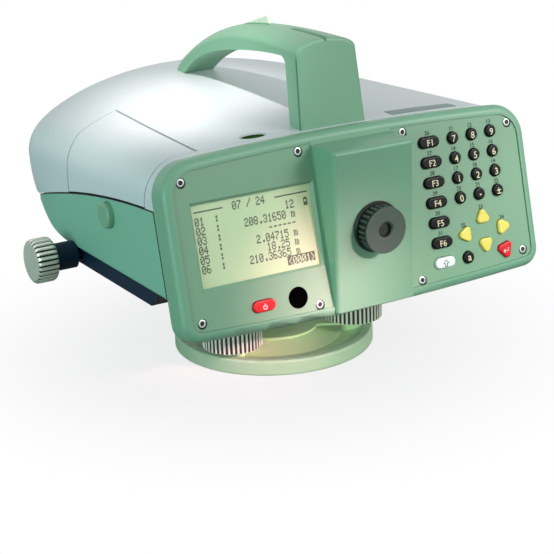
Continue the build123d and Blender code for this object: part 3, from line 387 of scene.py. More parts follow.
ACROSS_X, ACROSS_Y, ACROSS_Z = (0, 1, 1), (1, 0, 1), (1, 1, 0)
origin = (0, 0, 0)
silver = tint(230, 232, 218)
knob_middle = middle_of("drive_knobs")
knob = turned_metal("knob_silver", silver, 0.30, knob_middle, ACROSS_X, metal=0.6)
turned_metal("circle_metal", tint(178, 180, 176), 0.34, origin, ACROSS_Z)
turned_metal("spring_steel", tint(190, 192, 196), 0.32, origin, ACROSS_Z)
wheel_finishes = {
    node: turned_metal(f"wheel_{node}", silver, 0.30, middle_of(node), ACROSS_Z, crest=15.0, metal=0.35)
    for node in nodes if node.startswith("footscrew")
}
print(len(wheel_finishes), "levelling wheels")

# %% [markdown]
# The flutes of the fine drive knobs are darkened as painted shade. The knobs have rounded ends, which distance
# alone would darken too. Their flutes are evenly spaced, and the cosine of that many times the angle round the
# axis is 1 in the middle of each.

# %% Painted shade in the flutes of the drive knobs
knob_radius, knob_flutes = 11.0, 26
rise, depth = knob.along("Z") - knob_middle.z, knob.along("Y") - knob_middle.y
wave = knob.maths("COSINE", knob.maths("ARCTAN2", rise, depth) * knob_flutes)
rim = knob.past(knob.radius(knob_middle, ACROSS_X), knob_radius - 1.9, knob_radius - 1.2)
# painted shade: the flutes of the knob are darkened nearly to black
knob.over(rim * knob.step(wave, 0.1, 0.7), tint(20, 22, 21))
print(knob_flutes, "flutes")

# %% [markdown]
# The dark tray, the rubber grips and the keys are moulded. A moulded surface differs mostly in its gloss:
# the keys are polished and mirror the soft boxes, rubber scatters nearly everything. The pale base casting
# is paint again, worn along its rim, and a fine screw thread runs up its bore. Its dish is painted paler,
# as painted light in the shade under the instrument.

# %% Moulded parts
def moulded(name, colour, roughness, grain, relief, coat=0.0, gloss=0.5):
    """Plastic or rubber with a mottled sheen. A gloss below a half mirrors less than most plastic."""
    finish = Finish(name)
    speck = finish.noise(grain, 2.0)
    return finish.set(
        Base_Color=finish.mottle(finish.noise(60.0), colour, 0.85, 1.15),
        Roughness=roughness + 0.2 * (speck - 0.5),
        Normal=finish.bump(speck, relief, 0.15 * MM),
        Coat_Weight=coat,
        Specular_IOR_Level=gloss,
    )


moulded("tray_black", tint(8, 34, 54), 0.45, 1800.0, 0.2, gloss=0.2)
moulded("knob_black", tint(20, 24, 22), 0.40, 2600.0, 0.2, gloss=0.4)
moulded("inner_black", tint(26, 27, 28), 0.7, 2000.0, 0.1)
moulded("module_black", tint(38, 40, 44), 0.5, 1500.0, 0.2)
moulded("mat_rubber", tint(70, 72, 74), 0.75, 2400.0, 0.2)
moulded("key_black", tint(12, 13, 11), 0.30, 900.0, 0.03, gloss=0.2)
moulded("key_red", tint(232, 32, 40), 0.30, 900.0, 0.03, gloss=0.35)
moulded("key_yellow", tint(255, 226, 100), 0.34, 900.0, 0.03, coat=0.3)
moulded("key_white", tint(244, 244, 240), 0.30, 900.0, 0.03, coat=0.4)
print(len(finishes), "finishes so far")

# %% Base casting
base = Finish("base_green")
base_paint, dish_painted_light = tint(170, 199, 166), tint(206, 232, 180)
thread_pitch = 2.3 * MM
bore, height = base.radius(origin, ACROSS_Z), base.along("Z")
speck = base.noise(1600.0)
rim = base.past(bore, 45, 51) * base.past(height, 6.6, 8.2)
worn = rim * base.step(base.noise(120.0, 3.0), 0.52, 0.62)
metal_bore = base.within(bore, 7.0, 7.6)
thread = base.maths("SINE", height * (2 * pi / thread_pitch))
clouds = base.mottle(base.noise(14.0, 2.0), base_paint, 0.94, 1.05)
# painted light: the dish is painted paler to lift the shade under the instrument
paint = base.blend(base.within(bore, 40, 46), clouds, dish_painted_light)
worn_paint = base.blend(0.5 * worn, paint, shade(base_paint, 1.25))
base.set(
    Base_Color=base.blend(metal_bore, worn_paint, silver),
    Metallic=metal_bore,
    Roughness=0.46 + 0.14 * (speck - 0.5) - 0.1 * metal_bore,
    Normal=base.bump(0.1 * speck + metal_bore * thread, 0.6, 0.6 * MM),
)
print("base casting with a thread of", thread_pitch / MM, "mm")

# %% [markdown]
# ## Inside the casing
# With the battery door open the inside shows, so the battery, the circuit boards and the brass level
# get finishes too. The bubble of the level is drawn by distance from its axis: a pale bubble, a thin black
# circle round it, green fluid and a brass rim. The display glows a little behind its pane.

# %% Boards, level and display
board = Finish("board_green")
tracks = board.node("ShaderNodeTexBrick", {
    "Vector": board.place, "Scale": 260.0, "Mortar Size": 0.06, "Color1": tint(26, 92, 58),
    "Color2": tint(20, 78, 50), "Mortar": tint(168, 150, 84)}, output="Color")
solder = board.noise(420.0)
board.set(Base_Color=board.blend(0.3 * solder, tracks, tint(30, 104, 66)), Roughness=0.3 + 0.2 * solder)

vial = Finish("vial_brass")
brass = tint(196, 160, 92)
vial_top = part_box("circular_level")[1].z
off_centre = vial.radius(middle_of("circular_level"), ACROSS_Z)
on_top = vial.step(vial.along("Z"), vial_top - 0.6 * MM, vial_top - 0.3 * MM)
fluid = vial.blend(vial.past(off_centre, 2.4, 2.7), tint(226, 236, 188), tint(150, 196, 96))
circle_line = vial.past(off_centre, 3.1, 3.3) * vial.within(off_centre, 3.6, 3.8)
glass_top = vial.blend(circle_line, fluid, (0.01, 0.01, 0.01, 1))
brass_rim = 1 - on_top * vial.within(off_centre, 7.4, 7.6)
worn_brass = vial.mottle(vial.noise(300.0, 2.0), brass, 0.8, 1.1)
vial.set(
    Base_Color=vial.blend(brass_rim, glass_top, worn_brass),
    Metallic=brass_rim,
    Roughness=0.12 + 0.2 * brass_rim,
)

display = Finish("display_cream")
cream = tint(206, 222, 176)
display.set(
    Base_Color=display.mottle(display.noise(26.0), cream, 0.97, 1.04),
    Emission_Color=cream,
    Emission_Strength=0.15,
    Roughness=0.5 + 0.1 * display.noise(5200.0),
)
print("inside finishes")

# %% [markdown]
# ## Glass
# A clear pane in front of the display could be real refracting glass, but then the lamps hardly reach
# what lies behind it. A thin pane bends nothing that the eye notices, so a mostly see-through surface
# with a polished coat looks the same and stays bright. The lenses are darker and carry a coloured coating.
# The other two windows are so dark that plain plastic serves for them.

# %% Glass finishes
def glass(name, colour, alpha, roughness):
    """A polished pane: mostly see-through, with faint smears in its gloss."""
    finish = Finish(name)
    smear = finish.noise(70.0, 2.0)
    return finish.set(Base_Color=finish.mottle(smear, colour, 0.95, 1.05), Alpha=alpha,
                      Roughness=roughness + 0.05 * smear, Coat_Weight=1.0)


clear_pane = glass("clear_pane", tint(214, 226, 206), 0.10, 0.04)
level_pane = moulded("level_pane", tint(1, 1, 2), 0.45, 700.0, 0.02, gloss=0.0)
light_pane = moulded("light_pane", tint(44, 70, 28), 0.50, 700.0, 0.02, gloss=0.0)
lens_coat = glass("lens_coat", tint(44, 58, 52), 0.6, 0.02)
finishes["window_glass"] = clear_pane
print("glass finishes")

# %% [markdown]
# ## Places and pieces
# The display and the keys lie on a front that leans back, so a place there is easier to give on the slope
# itself: so far to the right, up it and out of it. Every piece that this lesson adds gets its finish and rides
# on a body of the frame.

# %% Places on the front
panel_lean = 12.8
panel_tilt = radians(panel_lean)
panel_origin = Vector((0, -88.2, 75.0)) * MM
panel_right = Vector((1, 0, 0))
panel_up = Vector((0, sin(panel_tilt), cos(panel_tilt)))
panel_out = panel_right.cross(panel_up)
panel_turn = Matrix((panel_right, panel_up, panel_out)).transposed().to_4x4()


def on_panel(u, v, w):
    """A place on the sloping front, in millimetres: to the right, up the slope, out of it."""
    return panel_origin + (u * panel_right + v * panel_up + w * panel_out) * MM


def add_piece(name, mesh, finish, body):
    """Link a mesh as a piece that rides on a body."""
    mesh.name = name
    if finish:
        mesh.materials.clear()
        mesh.materials.append(finish.material)
    piece = bpy.data.objects.new(name, mesh)
    link(piece)
    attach(piece, body)
    return piece


print("the front leans back by", panel_lean, "degrees")

# %% [markdown]
# A dark seal shows as a thin line where the lower housing meets the cover and the front frame. It is drawn in
# the paint of the housing: one mask measures up to the curved seam, the other to the plane of the frame. The
# housing's own green is lighter and bluer than the frame's, as painted cool light on that side.

# %% Housing with its seals
# painted light: a lighter, bluer copy of the frame's green, for cool light on the housing's side
housing = painted("housing_green", tint(126, 182, 158), 0.42, 1500.0, 0.12)
seam_y, seam_z, seam_slope, seam_bend = -11 * MM, 96.7 * MM, 0.15, 0.857
frame_plane, top_seal_width, front_seal_width, seal_edge = -12.3, 0.6, 2.4, 0.1
along_seam = housing.along("Y") - seam_y
to_seam = housing.along("Z") - seam_z + seam_slope * along_seam + seam_bend * along_seam * along_seam
arm = housing.vector_maths("SUBTRACT", housing.place, panel_origin)
to_front = housing.vector_maths("DOT_PRODUCT", arm, panel_out, output="Value")
front_seal_start = frame_plane - front_seal_width
top_seal = housing.past(to_seam, -top_seal_width - seal_edge, -top_seal_width)
front_seal = housing.past(to_front, front_seal_start - seal_edge, front_seal_start)
housing.over(housing.maths("MAXIMUM", top_seal, front_seal), tint(12, 26, 22))
print("seals of", top_seal_width, "and", front_seal_width, "mm")

# %% [markdown]
# Some solids hold several separate bodies, such as the eight screws of the two panels. A mesh from CAD is
# loose triangles, so a copy is merged first. Then faces that share an edge are gathered into islands,
# and each island tells where its body is.

# %% Separate bodies of a solid
def merged_copy(node):
    """A copy of a solid with its loose triangles joined."""
    shell = bmesh.new()
    shell.from_mesh(nodes[node].data)
    bmesh.ops.remove_doubles(shell, verts=shell.verts, dist=0.001 * MM)
    return shell


def islands(shell):
    """Groups of faces that hang together."""
    left, groups = set(shell.faces), []
    while left:
        group, wave = set(), {left.pop()}
        while wave:
            group |= wave
            left -= wave
            wave = {other for face in wave for edge in face.edges for other in edge.link_faces} & left
        groups.append(group)
    return groups


def corners(spots):
    """Lowest and highest corner of a list of places."""
    return [Vector([pick(spot[axis] for spot in spots) for axis in range(3)]) for pick in (min, max)]


def bodies_of(node):
    """The places of the vertices of each separate body in a solid."""
    shell = merged_copy(node)
    bodies = [[vert.co.copy() for face in group for vert in face.verts] for group in islands(shell)]
    shell.free()
    return bodies


screw_bodies = bodies_of("panel_screws")
lens_boxes = sorted((corners(spots) for spots in bodies_of("lenses")), key=lambda box: box[0].y)
print(len(screw_bodies), "screws and", len(lens_boxes), "lenses found")

# %% [markdown]
# ## Round pieces
# Whatever is made on a lathe is a profile that goes once round an axis. Blender has a Screw modifier for
# that, but working out the rings of vertices from radius and height is as short, and it closes the seam and
# the poles by itself. A socket is one more ring, with six flats in place of a circle.

# %% Lathe
weld, sharp_angle = 0.0005 * MM, radians(32)


def lathe(profile, steps, hollow=False):
    """A closed mesh turned about Z from (radius, height) pairs in millimetres."""
    work = bmesh.new()
    angles = [2 * pi * step / steps for step in range(steps)]
    rings = []
    for radius, height in profile:
        reach = radius if callable(radius) else lambda angle: radius
        rings.append([work.verts.new(Vector((
            reach(angle) * cos(angle), reach(angle) * sin(angle), height)) * MM) for angle in angles])
    pairs = list(zip(rings, rings[1:] + rings[:1]))
    for lower, upper in pairs if hollow else pairs[:-1]:
        for step in range(steps):
            after = (step + 1) % steps
            work.faces.new((lower[step], lower[after], upper[after], upper[step]))
    if not hollow:
        for ring in (rings[0], rings[-1]):
            work.faces.new(ring)
    bmesh.ops.remove_doubles(work, verts=work.verts, dist=weld)
    bmesh.ops.dissolve_degenerate(work, edges=work.edges, dist=weld)
    bmesh.ops.recalc_face_normals(work, faces=work.faces)
    for face in work.faces:
        face.smooth = True
    mesh = mesh_from(work, "turned")
    mesh.set_sharp_from_angle(angle=sharp_angle)
    return mesh


def flat_ring(inner, outer, foot, top, steps):
    """A ring with a square section."""
    return lathe([(inner, foot), (outer, foot), (outer, top), (inner, top)], steps, hollow=True)


print("the lathe is ready")

# %% [markdown]
# ## Copies
# A small Geometry Nodes tree makes everything that repeats: it sets a stamp on every point that it is given,
# as for the dots of the display and the screws. Round an axis, as for the ribs of a grip and the graduation
# of a circle, each copy also turns by the angle at which its point lies. The copies then become real.

# %% Tree that makes copies
group = bpy.data.node_groups.new("stamps_at_points", "GeometryNodeTree")
for label, kind in {"Points": "Geometry", "Turned": "Float", "Stamp": "Object", "Finish": "Material"}.items():
    group.interface.new_socket(label, in_out="INPUT", socket_type=f"NodeSocket{kind}")
group.interface.new_socket("Copies", in_out="OUTPUT", socket_type="NodeSocketGeometry")
copier = Tree(group)
wires = {socket.name: Wire(copier, socket) for socket in group.nodes.new("NodeGroupInput").outputs}
spot = copier.node("GeometryNodeInputPosition")
x, y = (copier.node("ShaderNodeSeparateXYZ", {0: spot}, output=axis) for axis in "XY")
heading = copier.node("ShaderNodeCombineXYZ", {"Z": wires["Turned"] * copier.maths("ARCTAN2", y, x)})
rotation = copier.node("FunctionNodeEulerToRotation", {"Euler": heading})
stamp = copier.node("GeometryNodeObjectInfo", {"Object": wires["Stamp"]}, output="Geometry")
copies = copier.node("GeometryNodeInstanceOnPoints", {
    "Points": wires["Points"], "Instance": stamp, "Rotation": rotation})
real = copier.node("GeometryNodeRealizeInstances", {"Geometry": copies})
dressed = copier.node("GeometryNodeSetMaterial", {"Geometry": real, "Material": wires["Finish"]})
copier.node("NodeGroupOutput", {"Copies": dressed})
input_of = {item.name: item.identifier for item in group.interface.items_tree}
print(len(group.nodes), "nodes in", group.name)

# %% [markdown]
# A tree works on an object, so a holder is linked for a moment and its evaluated shape becomes a plain mesh.
# The stamps are mostly blocks, and meshes that ride together are joined into one.

# %% Run the tree
def plain_mesh(holder):
    """The evaluated shape of an object, which is then removed."""
    link(holder)
    shape = holder.evaluated_get(bpy.context.evaluated_depsgraph_get())
    mesh = bpy.data.meshes.new_from_object(shape)
    bpy.data.objects.remove(holder)
    return mesh


def copied(stamp, finish, points, turned=0.0):
    """Copies of a stamp at points, as a plain mesh."""
    seed = bpy.data.meshes.new("seed")
    seed.from_pydata([tuple(point) for point in points], [], [])
    holder = bpy.data.objects.new("seed", seed)
    stamp_holder = bpy.data.objects.new("stamp", stamp)
    modifier = holder.modifiers.new("copies", "NODES")
    modifier.node_group = copier.tree
    for label, value in {"Turned": turned, "Stamp": stamp_holder, "Finish": finish.material}.items():
        modifier[input_of[label]] = value
    mesh = plain_mesh(holder)
    bpy.data.objects.remove(stamp_holder)
    return mesh


def copied_round(stamp, finish, count, radius):
    """Copies of a stamp round the Z axis, as a plain mesh."""
    angles = [2 * pi * step / count for step in range(count)]
    points = [(radius * cos(angle), radius * sin(angle), 0) for angle in angles]
    return copied(stamp, finish, points, 1.0)


def block(width, depth, height, rounding=0.0):
    """A block about the origin in millimetres, with rounded edges where asked."""
    work = bmesh.new()
    bmesh.ops.create_cube(work, size=1.0)
    bmesh.ops.scale(work, verts=work.verts, vec=Vector((width, depth, height)) * MM)
    if rounding:
        bmesh.ops.bevel(work, geom=work.edges, offset=rounding * MM, segments=2, profile=0.5, affect="EDGES")
    return mesh_from(work, "block")


def joined(meshes):
    """Several meshes as one. The faces keep their materials."""
    work = bmesh.new()
    slots = []
    for mesh in meshes:
        start = len(work.faces)
        work.from_mesh(mesh)
        work.faces.ensure_lookup_table()
        materials = list(mesh.materials) or [None]
        slots += [material for material in materials if material not in slots]
        for face in work.faces[start:]:
            face.material_index = slots.index(materials[face.material_index])
    whole = mesh_from(work, "joined")
    for material in slots:
        whole.materials.append(material)
    return whole


print("copies and blocks are ready")

# %% [markdown]
# ## Panel screws
# Eight small socket screws hold the two panels. Each is a low head with a rounded rim and a six-sided socket.
# A thin dark ring round each head is painted shade in the gap round it, and the inside of the socket is
# darkened as painted shade too. All are one mesh, because they ride on the same body. The places come from the
# solids.

# %% Screws with sockets
screw_radius, screw_height, socket_reach, socket_shade_reach = 1.9, 1.25, 1.05, 1.03
round_steps = 36
screw_finish = turned_metal(
    "screw_steel", tint(232, 234, 232), 0.30, middle_of("panel_screws"), ACROSS_Y, metal=0.5)


def six_flats(reach):
    """Radius of a hexagon at an angle."""
    return lambda angle: reach / cos((angle % (pi / 3)) - pi / 6)


screw = lathe([
    (0.0, -screw_height), (screw_radius, -screw_height), (screw_radius, -0.45), (screw_radius - 0.12, -0.16),
    (screw_radius - 0.42, 0.0), (six_flats(socket_reach + 0.1), 0.0), (six_flats(socket_reach), -0.12),
    (six_flats(socket_reach), -0.95), (0.0, -1.0)], round_steps)
# painted shade: a dark ring in the gap round each head, and a dark lining deep in each socket
gap_shade_ring = flat_ring(inner=1.95, outer=2.36, foot=-1.5, top=-0.55, steps=round_steps)
socket_shade = lathe([(0.0, -0.9), (six_flats(socket_shade_reach), -0.9), (six_flats(socket_shade_reach), -0.15), (0.0, -0.2)],
               round_steps)
painted_shade_rings = joined([gap_shade_ring, socket_shade])
for stamp in (screw, painted_shade_rings):
    stamp.transform(panel_turn)
screw_tops = []
for spots in screw_bodies:
    middle = sum(corners(spots), Vector()) / 2
    screw_tops.append(middle + max((spot - middle).dot(panel_out) for spot in spots) * panel_out)
screw_mesh = joined([copied(screw, screw_finish, screw_tops),
                     copied(painted_shade_rings, finishes["inner_black"], screw_tops)])
screws = add_piece("socket_screws", screw_mesh, None, "upper")
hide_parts("panel_screws")
print(len(screw_tops), "screws,", len(screw_mesh.polygons), "faces")

# %% [markdown]
# ## Windows
# One solid holds the three panes: the glass over the display, the dark window of the circular level and the
# small light window on the cover. A merged copy stands for the solid, so that each island gets its own finish.
# The back of the display's pane is raised by a hair, which leaves room for the characters below it.

# %% Three panes
pane_finishes = {"level": level_pane, "display": clear_pane, "light": light_pane}
room_for_print = 0.15 * MM
pane_shell = merged_copy("windows")


def lowest(group):
    """Height of the lowest vertex of an island."""
    return min(vert.co.z for face in group for vert in face.verts)


from_below = sorted(islands(pane_shell), key=lowest)
for index, (kind, group) in enumerate(zip(pane_finishes, from_below)):
    for face in group:
        face.material_index = index
    if kind == "display":
        depth_of = {vert: (vert.co - panel_origin).dot(panel_out) for face in group for vert in face.verts}
        display_face = min(depth_of.values())
        for vert, depth in depth_of.items():
            if depth < display_face + room_for_print:
                vert.co += room_for_print * panel_out
pane_mesh = mesh_from(pane_shell, "panes")
for finish in pane_finishes.values():
    pane_mesh.materials.append(finish.material)
panes = add_piece("panes", pane_mesh, None, "upper")
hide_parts("windows")
print("display at", round(display_face / MM, 2), "mm from the front's plane")

# %% [markdown]
# A black ring is laid round the level's window, so that its dark area is wider. A flat ring from the lathe,
# laid on the panel, is enough for it.

# %% Black ring round the level's window
level_u, level_v, panel_face = -39.3, -18.0, -0.6
level_ring = flat_ring(inner=4.35, outer=5.0, foot=-0.1, top=0.05, steps=48)
level_ring.transform(Matrix.Translation(on_panel(level_u, level_v, panel_face)) @ panel_turn)
add_piece("level_ring", level_ring, level_pane, "upper")
print("ring round the level's window")

# %% [markdown]
# ## Display
# The display is a dot matrix: every character is five dots by seven in a cell of six by eight. The dots that
# are dark become points on the display, and the tree sets a square on each. The last cells of the bottom
# line are reversed: there the dots round the sign are dark and the sign is bare.

# %% Characters
SIGNS = "012345678:.-/m<>b="
SHEET = """
.###. ..#.. .###. .###. ...#. ##### .###. ##### .###. ..... ..... ..... ....# ..... ....# #.... .###. ......
#...# .##.. #...# #...# ..##. #.... #.... ....# #...# ..##. ..... ..... ....# ..... ...#. .#... ##### ......
#..## ..#.. ....# ....# .#.#. ####. #.... ...#. #...# ..##. ..... ..... ...#. ##.#. ..#.. ..#.. #...# ......
#.#.# ..#.. ..##. ..##. #..#. ....# ####. ..#.. .###. ..... ..... ####. ..#.. #.#.# .#... ...#. #...# ######
##..# ..#.. .#... ....# ##### ....# #...# .#... #...# ..##. ..... ..... .#... #.#.# ..#.. ..#.. ##### ......
#...# ..#.. #.... #...# ...#. #...# #...# .#... #...# ..##. ..##. ..... #.... #.#.# ...#. .#... ##### ......
.###. .###. ##### .###. ...#. .###. .###. .#... .###. ..... ..##. ..... #.... #.#.# ....# #.... ##### ......
"""
GLYPHS = dict(zip(SIGNS, zip(*(row.split() for row in SHEET.strip().split("\n")))))
LINES = [
    "======  07 / 24  =======",
    "01  :              12  b",
    "02  :     208.31650 m",
    "03  :          ------",
    "04  :       2.04715 m",
    "05  :         18.25 m",
    "06  :     210.36365 m",
]
REVERSED_LINE, REVERSED_FROM, REVERSED_SIGNS = 7, 18, "<0001>"
display_u, display_v, cell_width, cell_height = -54.7, 13.3, 2.42, 4.25
columns, rows, across, down = 24, 8, 6, 8
dot_width, dot_height, dot_depth, dot_lift = cell_width / across, cell_height / down, 0.02, 0.03


def dark_dots(sign):
    """The dots of a cell that a sign makes dark, as (across, down)."""
    return {(x, y) for y, line in enumerate(GLYPHS.get(sign, ())) for x, dot in enumerate(line) if dot == "#"}


def dot_place(column, row, x, y):
    """Where a dot of a cell lies on the display."""
    u = display_u + (column - columns / 2) * cell_width + (x + 0.5) * dot_width
    v = display_v + (rows / 2 - row) * cell_height - (y + 0.5) * dot_height
    return on_panel(u, v, display_face / MM + dot_lift)


dots = [dot_place(column, row, x, y)
        for row, line in enumerate(LINES) for column, sign in enumerate(line) for x, y in dark_dots(sign)]
whole_cell = {(x - 1, y) for x in range(across) for y in range(-1, down - 1)}
reversed_dots = [dot_place(REVERSED_FROM + index, REVERSED_LINE, x, y)
                 for index, sign in enumerate(REVERSED_SIGNS) for x, y in whole_cell - dark_dots(sign)]
print(len(dots), "dark dots and", len(reversed_dots), "round the reversed signs")

# %% [markdown]
# A dark dot spreads a little, so the dots of the characters run together. Those round the reversed signs only
# meet, or the thin bare signs would close up.

# %% Dots on the display
dot_share, reversed_share = 1.2, 1.0
ink = Finish("display_ink")
ink_cloud = ink.noise(900.0)
ink.set(Base_Color=ink.blend(ink_cloud, tint(36, 44, 24), tint(50, 58, 36)), Roughness=0.5 + 0.2 * ink_cloud)


def dot(share):
    """A dot that fills this share of its place in the matrix."""
    stamp = block(dot_width * share, dot_height * share, dot_depth)
    stamp.transform(panel_turn)
    return stamp


character_mesh = joined([copied(dot(share), ink, places)
                         for share, places in ((dot_share, dots), (reversed_share, reversed_dots))])
add_piece("display_characters", character_mesh, ink, "upper")
print(len(character_mesh.polygons), "faces of print")

# %% [markdown]
# ## Print on the keys
# Most keys carry a sign, and the sign has to travel with its key, so each is a piece of its own that rides on
# the key's body. Numbers and letters are text made into a mesh. The power sign and the arrows of two keys are
# short lines, each a thin tube pressed flat.

# %% Numbers and lines
print_depth = 0.06
print_lift = print_depth / 3


def settled(mesh, place, turn=panel_turn, height=None):
    """Centre a flat mesh, scale it to a height where given, and set it down at a place."""
    low, high = corners([vert.co for vert in mesh.vertices])
    grow = height * MM / (high.y - low.y) if height else 1.0
    flat = Matrix.Diagonal((grow, grow, 1.0, 1.0)) @ Matrix.Translation(-(low + high) / 2)
    mesh.transform(Matrix.Translation(place) @ turn @ flat)
    return mesh


def lettering(words, weight=0.0):
    """Flat raised text, to be settled on a surface."""
    text = bpy.data.curves.new("print", "FONT")
    text.body = words
    text.size = 4 * MM
    text.extrude = print_depth / 2 * MM
    text.offset = weight * MM
    text.resolution_u = 3
    return plain_mesh(bpy.data.objects.new("print", text))


def strokes(lines, width):
    """A sign of lines through points in millimetres, each a tube pressed flat."""
    curve = bpy.data.curves.new("print", "CURVE")
    curve.dimensions = "3D"
    curve.bevel_depth = width / 2 * MM
    curve.bevel_resolution = 1
    curve.use_fill_caps = True
    for line in lines:
        spline = curve.splines.new("POLY")
        spline.points.add(len(line) - 1)
        for point, (x, y) in zip(spline.points, line):
            point.co = (x * MM, y * MM, 0, 1)
    mesh = plain_mesh(bpy.data.objects.new("print", curve))
    mesh.transform(Matrix.Diagonal((1, 1, print_depth / width, 1)))
    return mesh


def key_top(key):
    """The middle of a key's top."""
    middle = middle_of(key)
    lift = max((vert.co - middle).dot(panel_out) for vert in nodes[key].data.vertices)
    return middle + (lift + print_lift * MM) * panel_out


print("print helpers are ready")

# %% [markdown]
# The print is silk-screened ink: cream on most keys, white for enter and power, dark on the white shift key.
# A key has its sign and the height of it in millimetres.

# %% Signs on the keys
def printed(name, colour):
    """Ink, a little uneven."""
    finish = Finish(name)
    patch = finish.noise(700.0, 2.0)
    return finish.set(Base_Color=finish.mottle(patch, colour, 0.86, 1.04), Roughness=0.5 + 0.2 * patch)


cream_print = printed("cream_print", tint(236, 228, 190))
white_print = printed("white_print", tint(246, 244, 240))
dark_print = printed("dark_print", tint(20, 44, 34))
legend_weight = 0.03
function_keys = ("key_measure", "key_mode", "key_user", "key_program", "key_data", "key_escape")
legends = {f"key_{digit}": (str(digit), 3.2) for digit in range(10)}
legends |= {key: (f"F{place}", 3.0) for place, key in enumerate(function_keys, 1)}
legends |= {"key_point": (".", 0.9), "key_sign": ("±", 3.0), "key_letters": ("a", 2.4)}
for key, (sign, height) in legends.items():
    legend = settled(lettering(sign, legend_weight), key_top(key), height=height)
    add_piece(f"sign_{key}", legend, cream_print, key)
print(len(legends), "printed keys")

# %% Signs made of lines
ring_radius, ring_steps, ring_start, ring_sweep = 0.95, 20, radians(35), radians(290)
ring_turns = [ring_start + ring_sweep * step / ring_steps for step in range(ring_steps + 1)]
power_ring = [(ring_radius * sin(turn), ring_radius * cos(turn)) for turn in ring_turns]
shaft, head = [(1.5, 1.3), (1.5, -0.1), (-1.4, -0.1)], [(-0.4, 0.8), (-1.4, -0.1), (-0.4, -1.0)]
arrow_half = [(0.6, -1.3), (0.6, 0.1), (1.6, 0.1)]
arrow = [*arrow_half, (0, 1.6), *((-x, y) for x, y in reversed(arrow_half)), arrow_half[0]]
line_signs = {
    "key_power": ([power_ring, [(0, 0.2), (0, 1.6)]], 0.42, white_print, "key_white"),
    "key_enter": ([shaft, head], 0.42, white_print, "key_white"),
    "key_shift": ([arrow], 0.5, dark_print, "module_black"),
}
for key, (lines, width, finish, slot) in line_signs.items():
    add_piece(f"sign_{key}", settled(strokes(lines, width), key_top(key)), finish, key)
print(len(line_signs), "drawn signs")

# %% [markdown]
# Small numbers stand above the keys, for what a key does after the shift key. They are printed on the panel, so
# they are one piece that rides on the casing.

# %% Numbers above the keys
digit_rise, function_rise = 4.85, 4.75
caption_height, caption_weight, first_caption = 2.05, 0.1, 11
caption_keys = [f"key_{name}" for name in "7 8 9 4 5 6 1 2 3 0 point sign up right left".split()]
captions = []
for number, key in enumerate(caption_keys + list(function_keys), first_caption):
    middle = middle_of(key) - panel_origin
    rise = function_rise if key in function_keys else digit_rise
    place = on_panel(middle.dot(panel_right) / MM, middle.dot(panel_up) / MM + rise, panel_face + print_lift)
    captions.append(settled(lettering(str(number), caption_weight), place, height=caption_height))
add_piece("panel_numbers", joined(captions), dark_print, "upper")
print(len(captions), "numbers on the panel")

# %% [markdown]
# ## Eyepiece
# The dioptre ring is turned from metal with a low flange, a ribbed grip and a flat face round the eye lens. The
# body comes off the lathe, and the tree sets the ribs round it. They are one piece, because the ring turns
# as one. Body and flange are black, and the ribs and the face wear a grained grey paint.

# %% Dioptre ring
ring_low, ring_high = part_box("eyepiece_ring")
ring_length = (ring_high.y - ring_low.y) / MM
ring_place = Vector((0, ring_high.y, (ring_low.z + ring_high.z) / 2))
towards_eye = Matrix.Rotation(radians(90), 4, "X")
rib_count, rib_radius, rib_foot, rib_length = 26, 10.3, 1.7, 5.3
face_low, least_facing = ring_length - 1.2, 0.3
eyepiece_face = painted("eyepiece_face", tint(54, 76, 66), 0.55, 1300.0, 0.5)
ring_body = lathe([
    (8.1, 0.0), (11.8, 0.0), (12.0, 0.25), (12.0, 1.2), (11.7, 1.55), (10.0, 1.6), (10.0, face_low),
    (10.75, face_low + 0.05), (10.85, face_low + 0.2), (10.85, ring_length - 0.2), (10.65, ring_length),
    (4.4, ring_length), (3.5, ring_length - 0.8), (3.4, ring_length - 1.0), (3.4, 6.9), (8.1, 6.9)],
    96, hollow=True)
for finish in (finishes["knob_black"], eyepiece_face):
    ring_body.materials.append(finish.material)
for polygon in ring_body.polygons:
    if polygon.center.z > face_low * MM and polygon.normal.z > least_facing:
        polygon.material_index = 1
rib = block(width=1.1, depth=1.2, height=rib_length, rounding=0.3)
ribs = copied_round(rib, eyepiece_face, rib_count, rib_radius * MM)
ribs.transform(Matrix.Translation((0, 0, (rib_foot + rib_length / 2) * MM)))
ring_mesh = joined([ring_body, ribs])
ring_mesh.transform(Matrix.Translation(ring_place) @ towards_eye)
dioptre_ring = add_piece("dioptre_ring", ring_mesh, None, "eyepiece_ring")
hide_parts("eyepiece_ring")
print(rib_count, "ribs round", round(ring_length, 1), "mm")

# %% [markdown]
# The solids of the two lenses are flat discs. Real lenses are thicker in the middle, and that curve is what
# catches a highlight, so both are turned again from a profile with a small sag on each side.

# %% Lenses
sag_share, lens_rings, lens_steps = 0.3, 8, 64


def lens(low, high):
    """A lens with two curved faces in the place of a flat disc whose axis is Y."""
    radius, thickness = (high.x - low.x) / 2 / MM, (high.y - low.y) / MM
    parts = [step / lens_rings for step in range(lens_rings + 1)]
    back = [(radius * part, sag_share * thickness * part ** 2 - thickness / 2) for part in parts]
    front = [(reach, -height) for reach, height in reversed(back)]
    mesh = lathe(back + front, lens_steps)
    mesh.transform(Matrix.Translation((low + high) / 2) @ towards_eye)
    return mesh


lens_mesh = joined([lens(low, high) for low, high in lens_boxes])
lens_piece = add_piece("curved_lenses", lens_mesh, lens_coat, "upper")
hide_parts("lenses")
print(len(lens_boxes), "lenses")

# %% [markdown]
# ## Plate and graduation
# A thin grey plate lies bare on the cover behind the keypad. The cover is curved, so a grid of points is
# dropped onto it from above, and the plate gets its thickness from there.

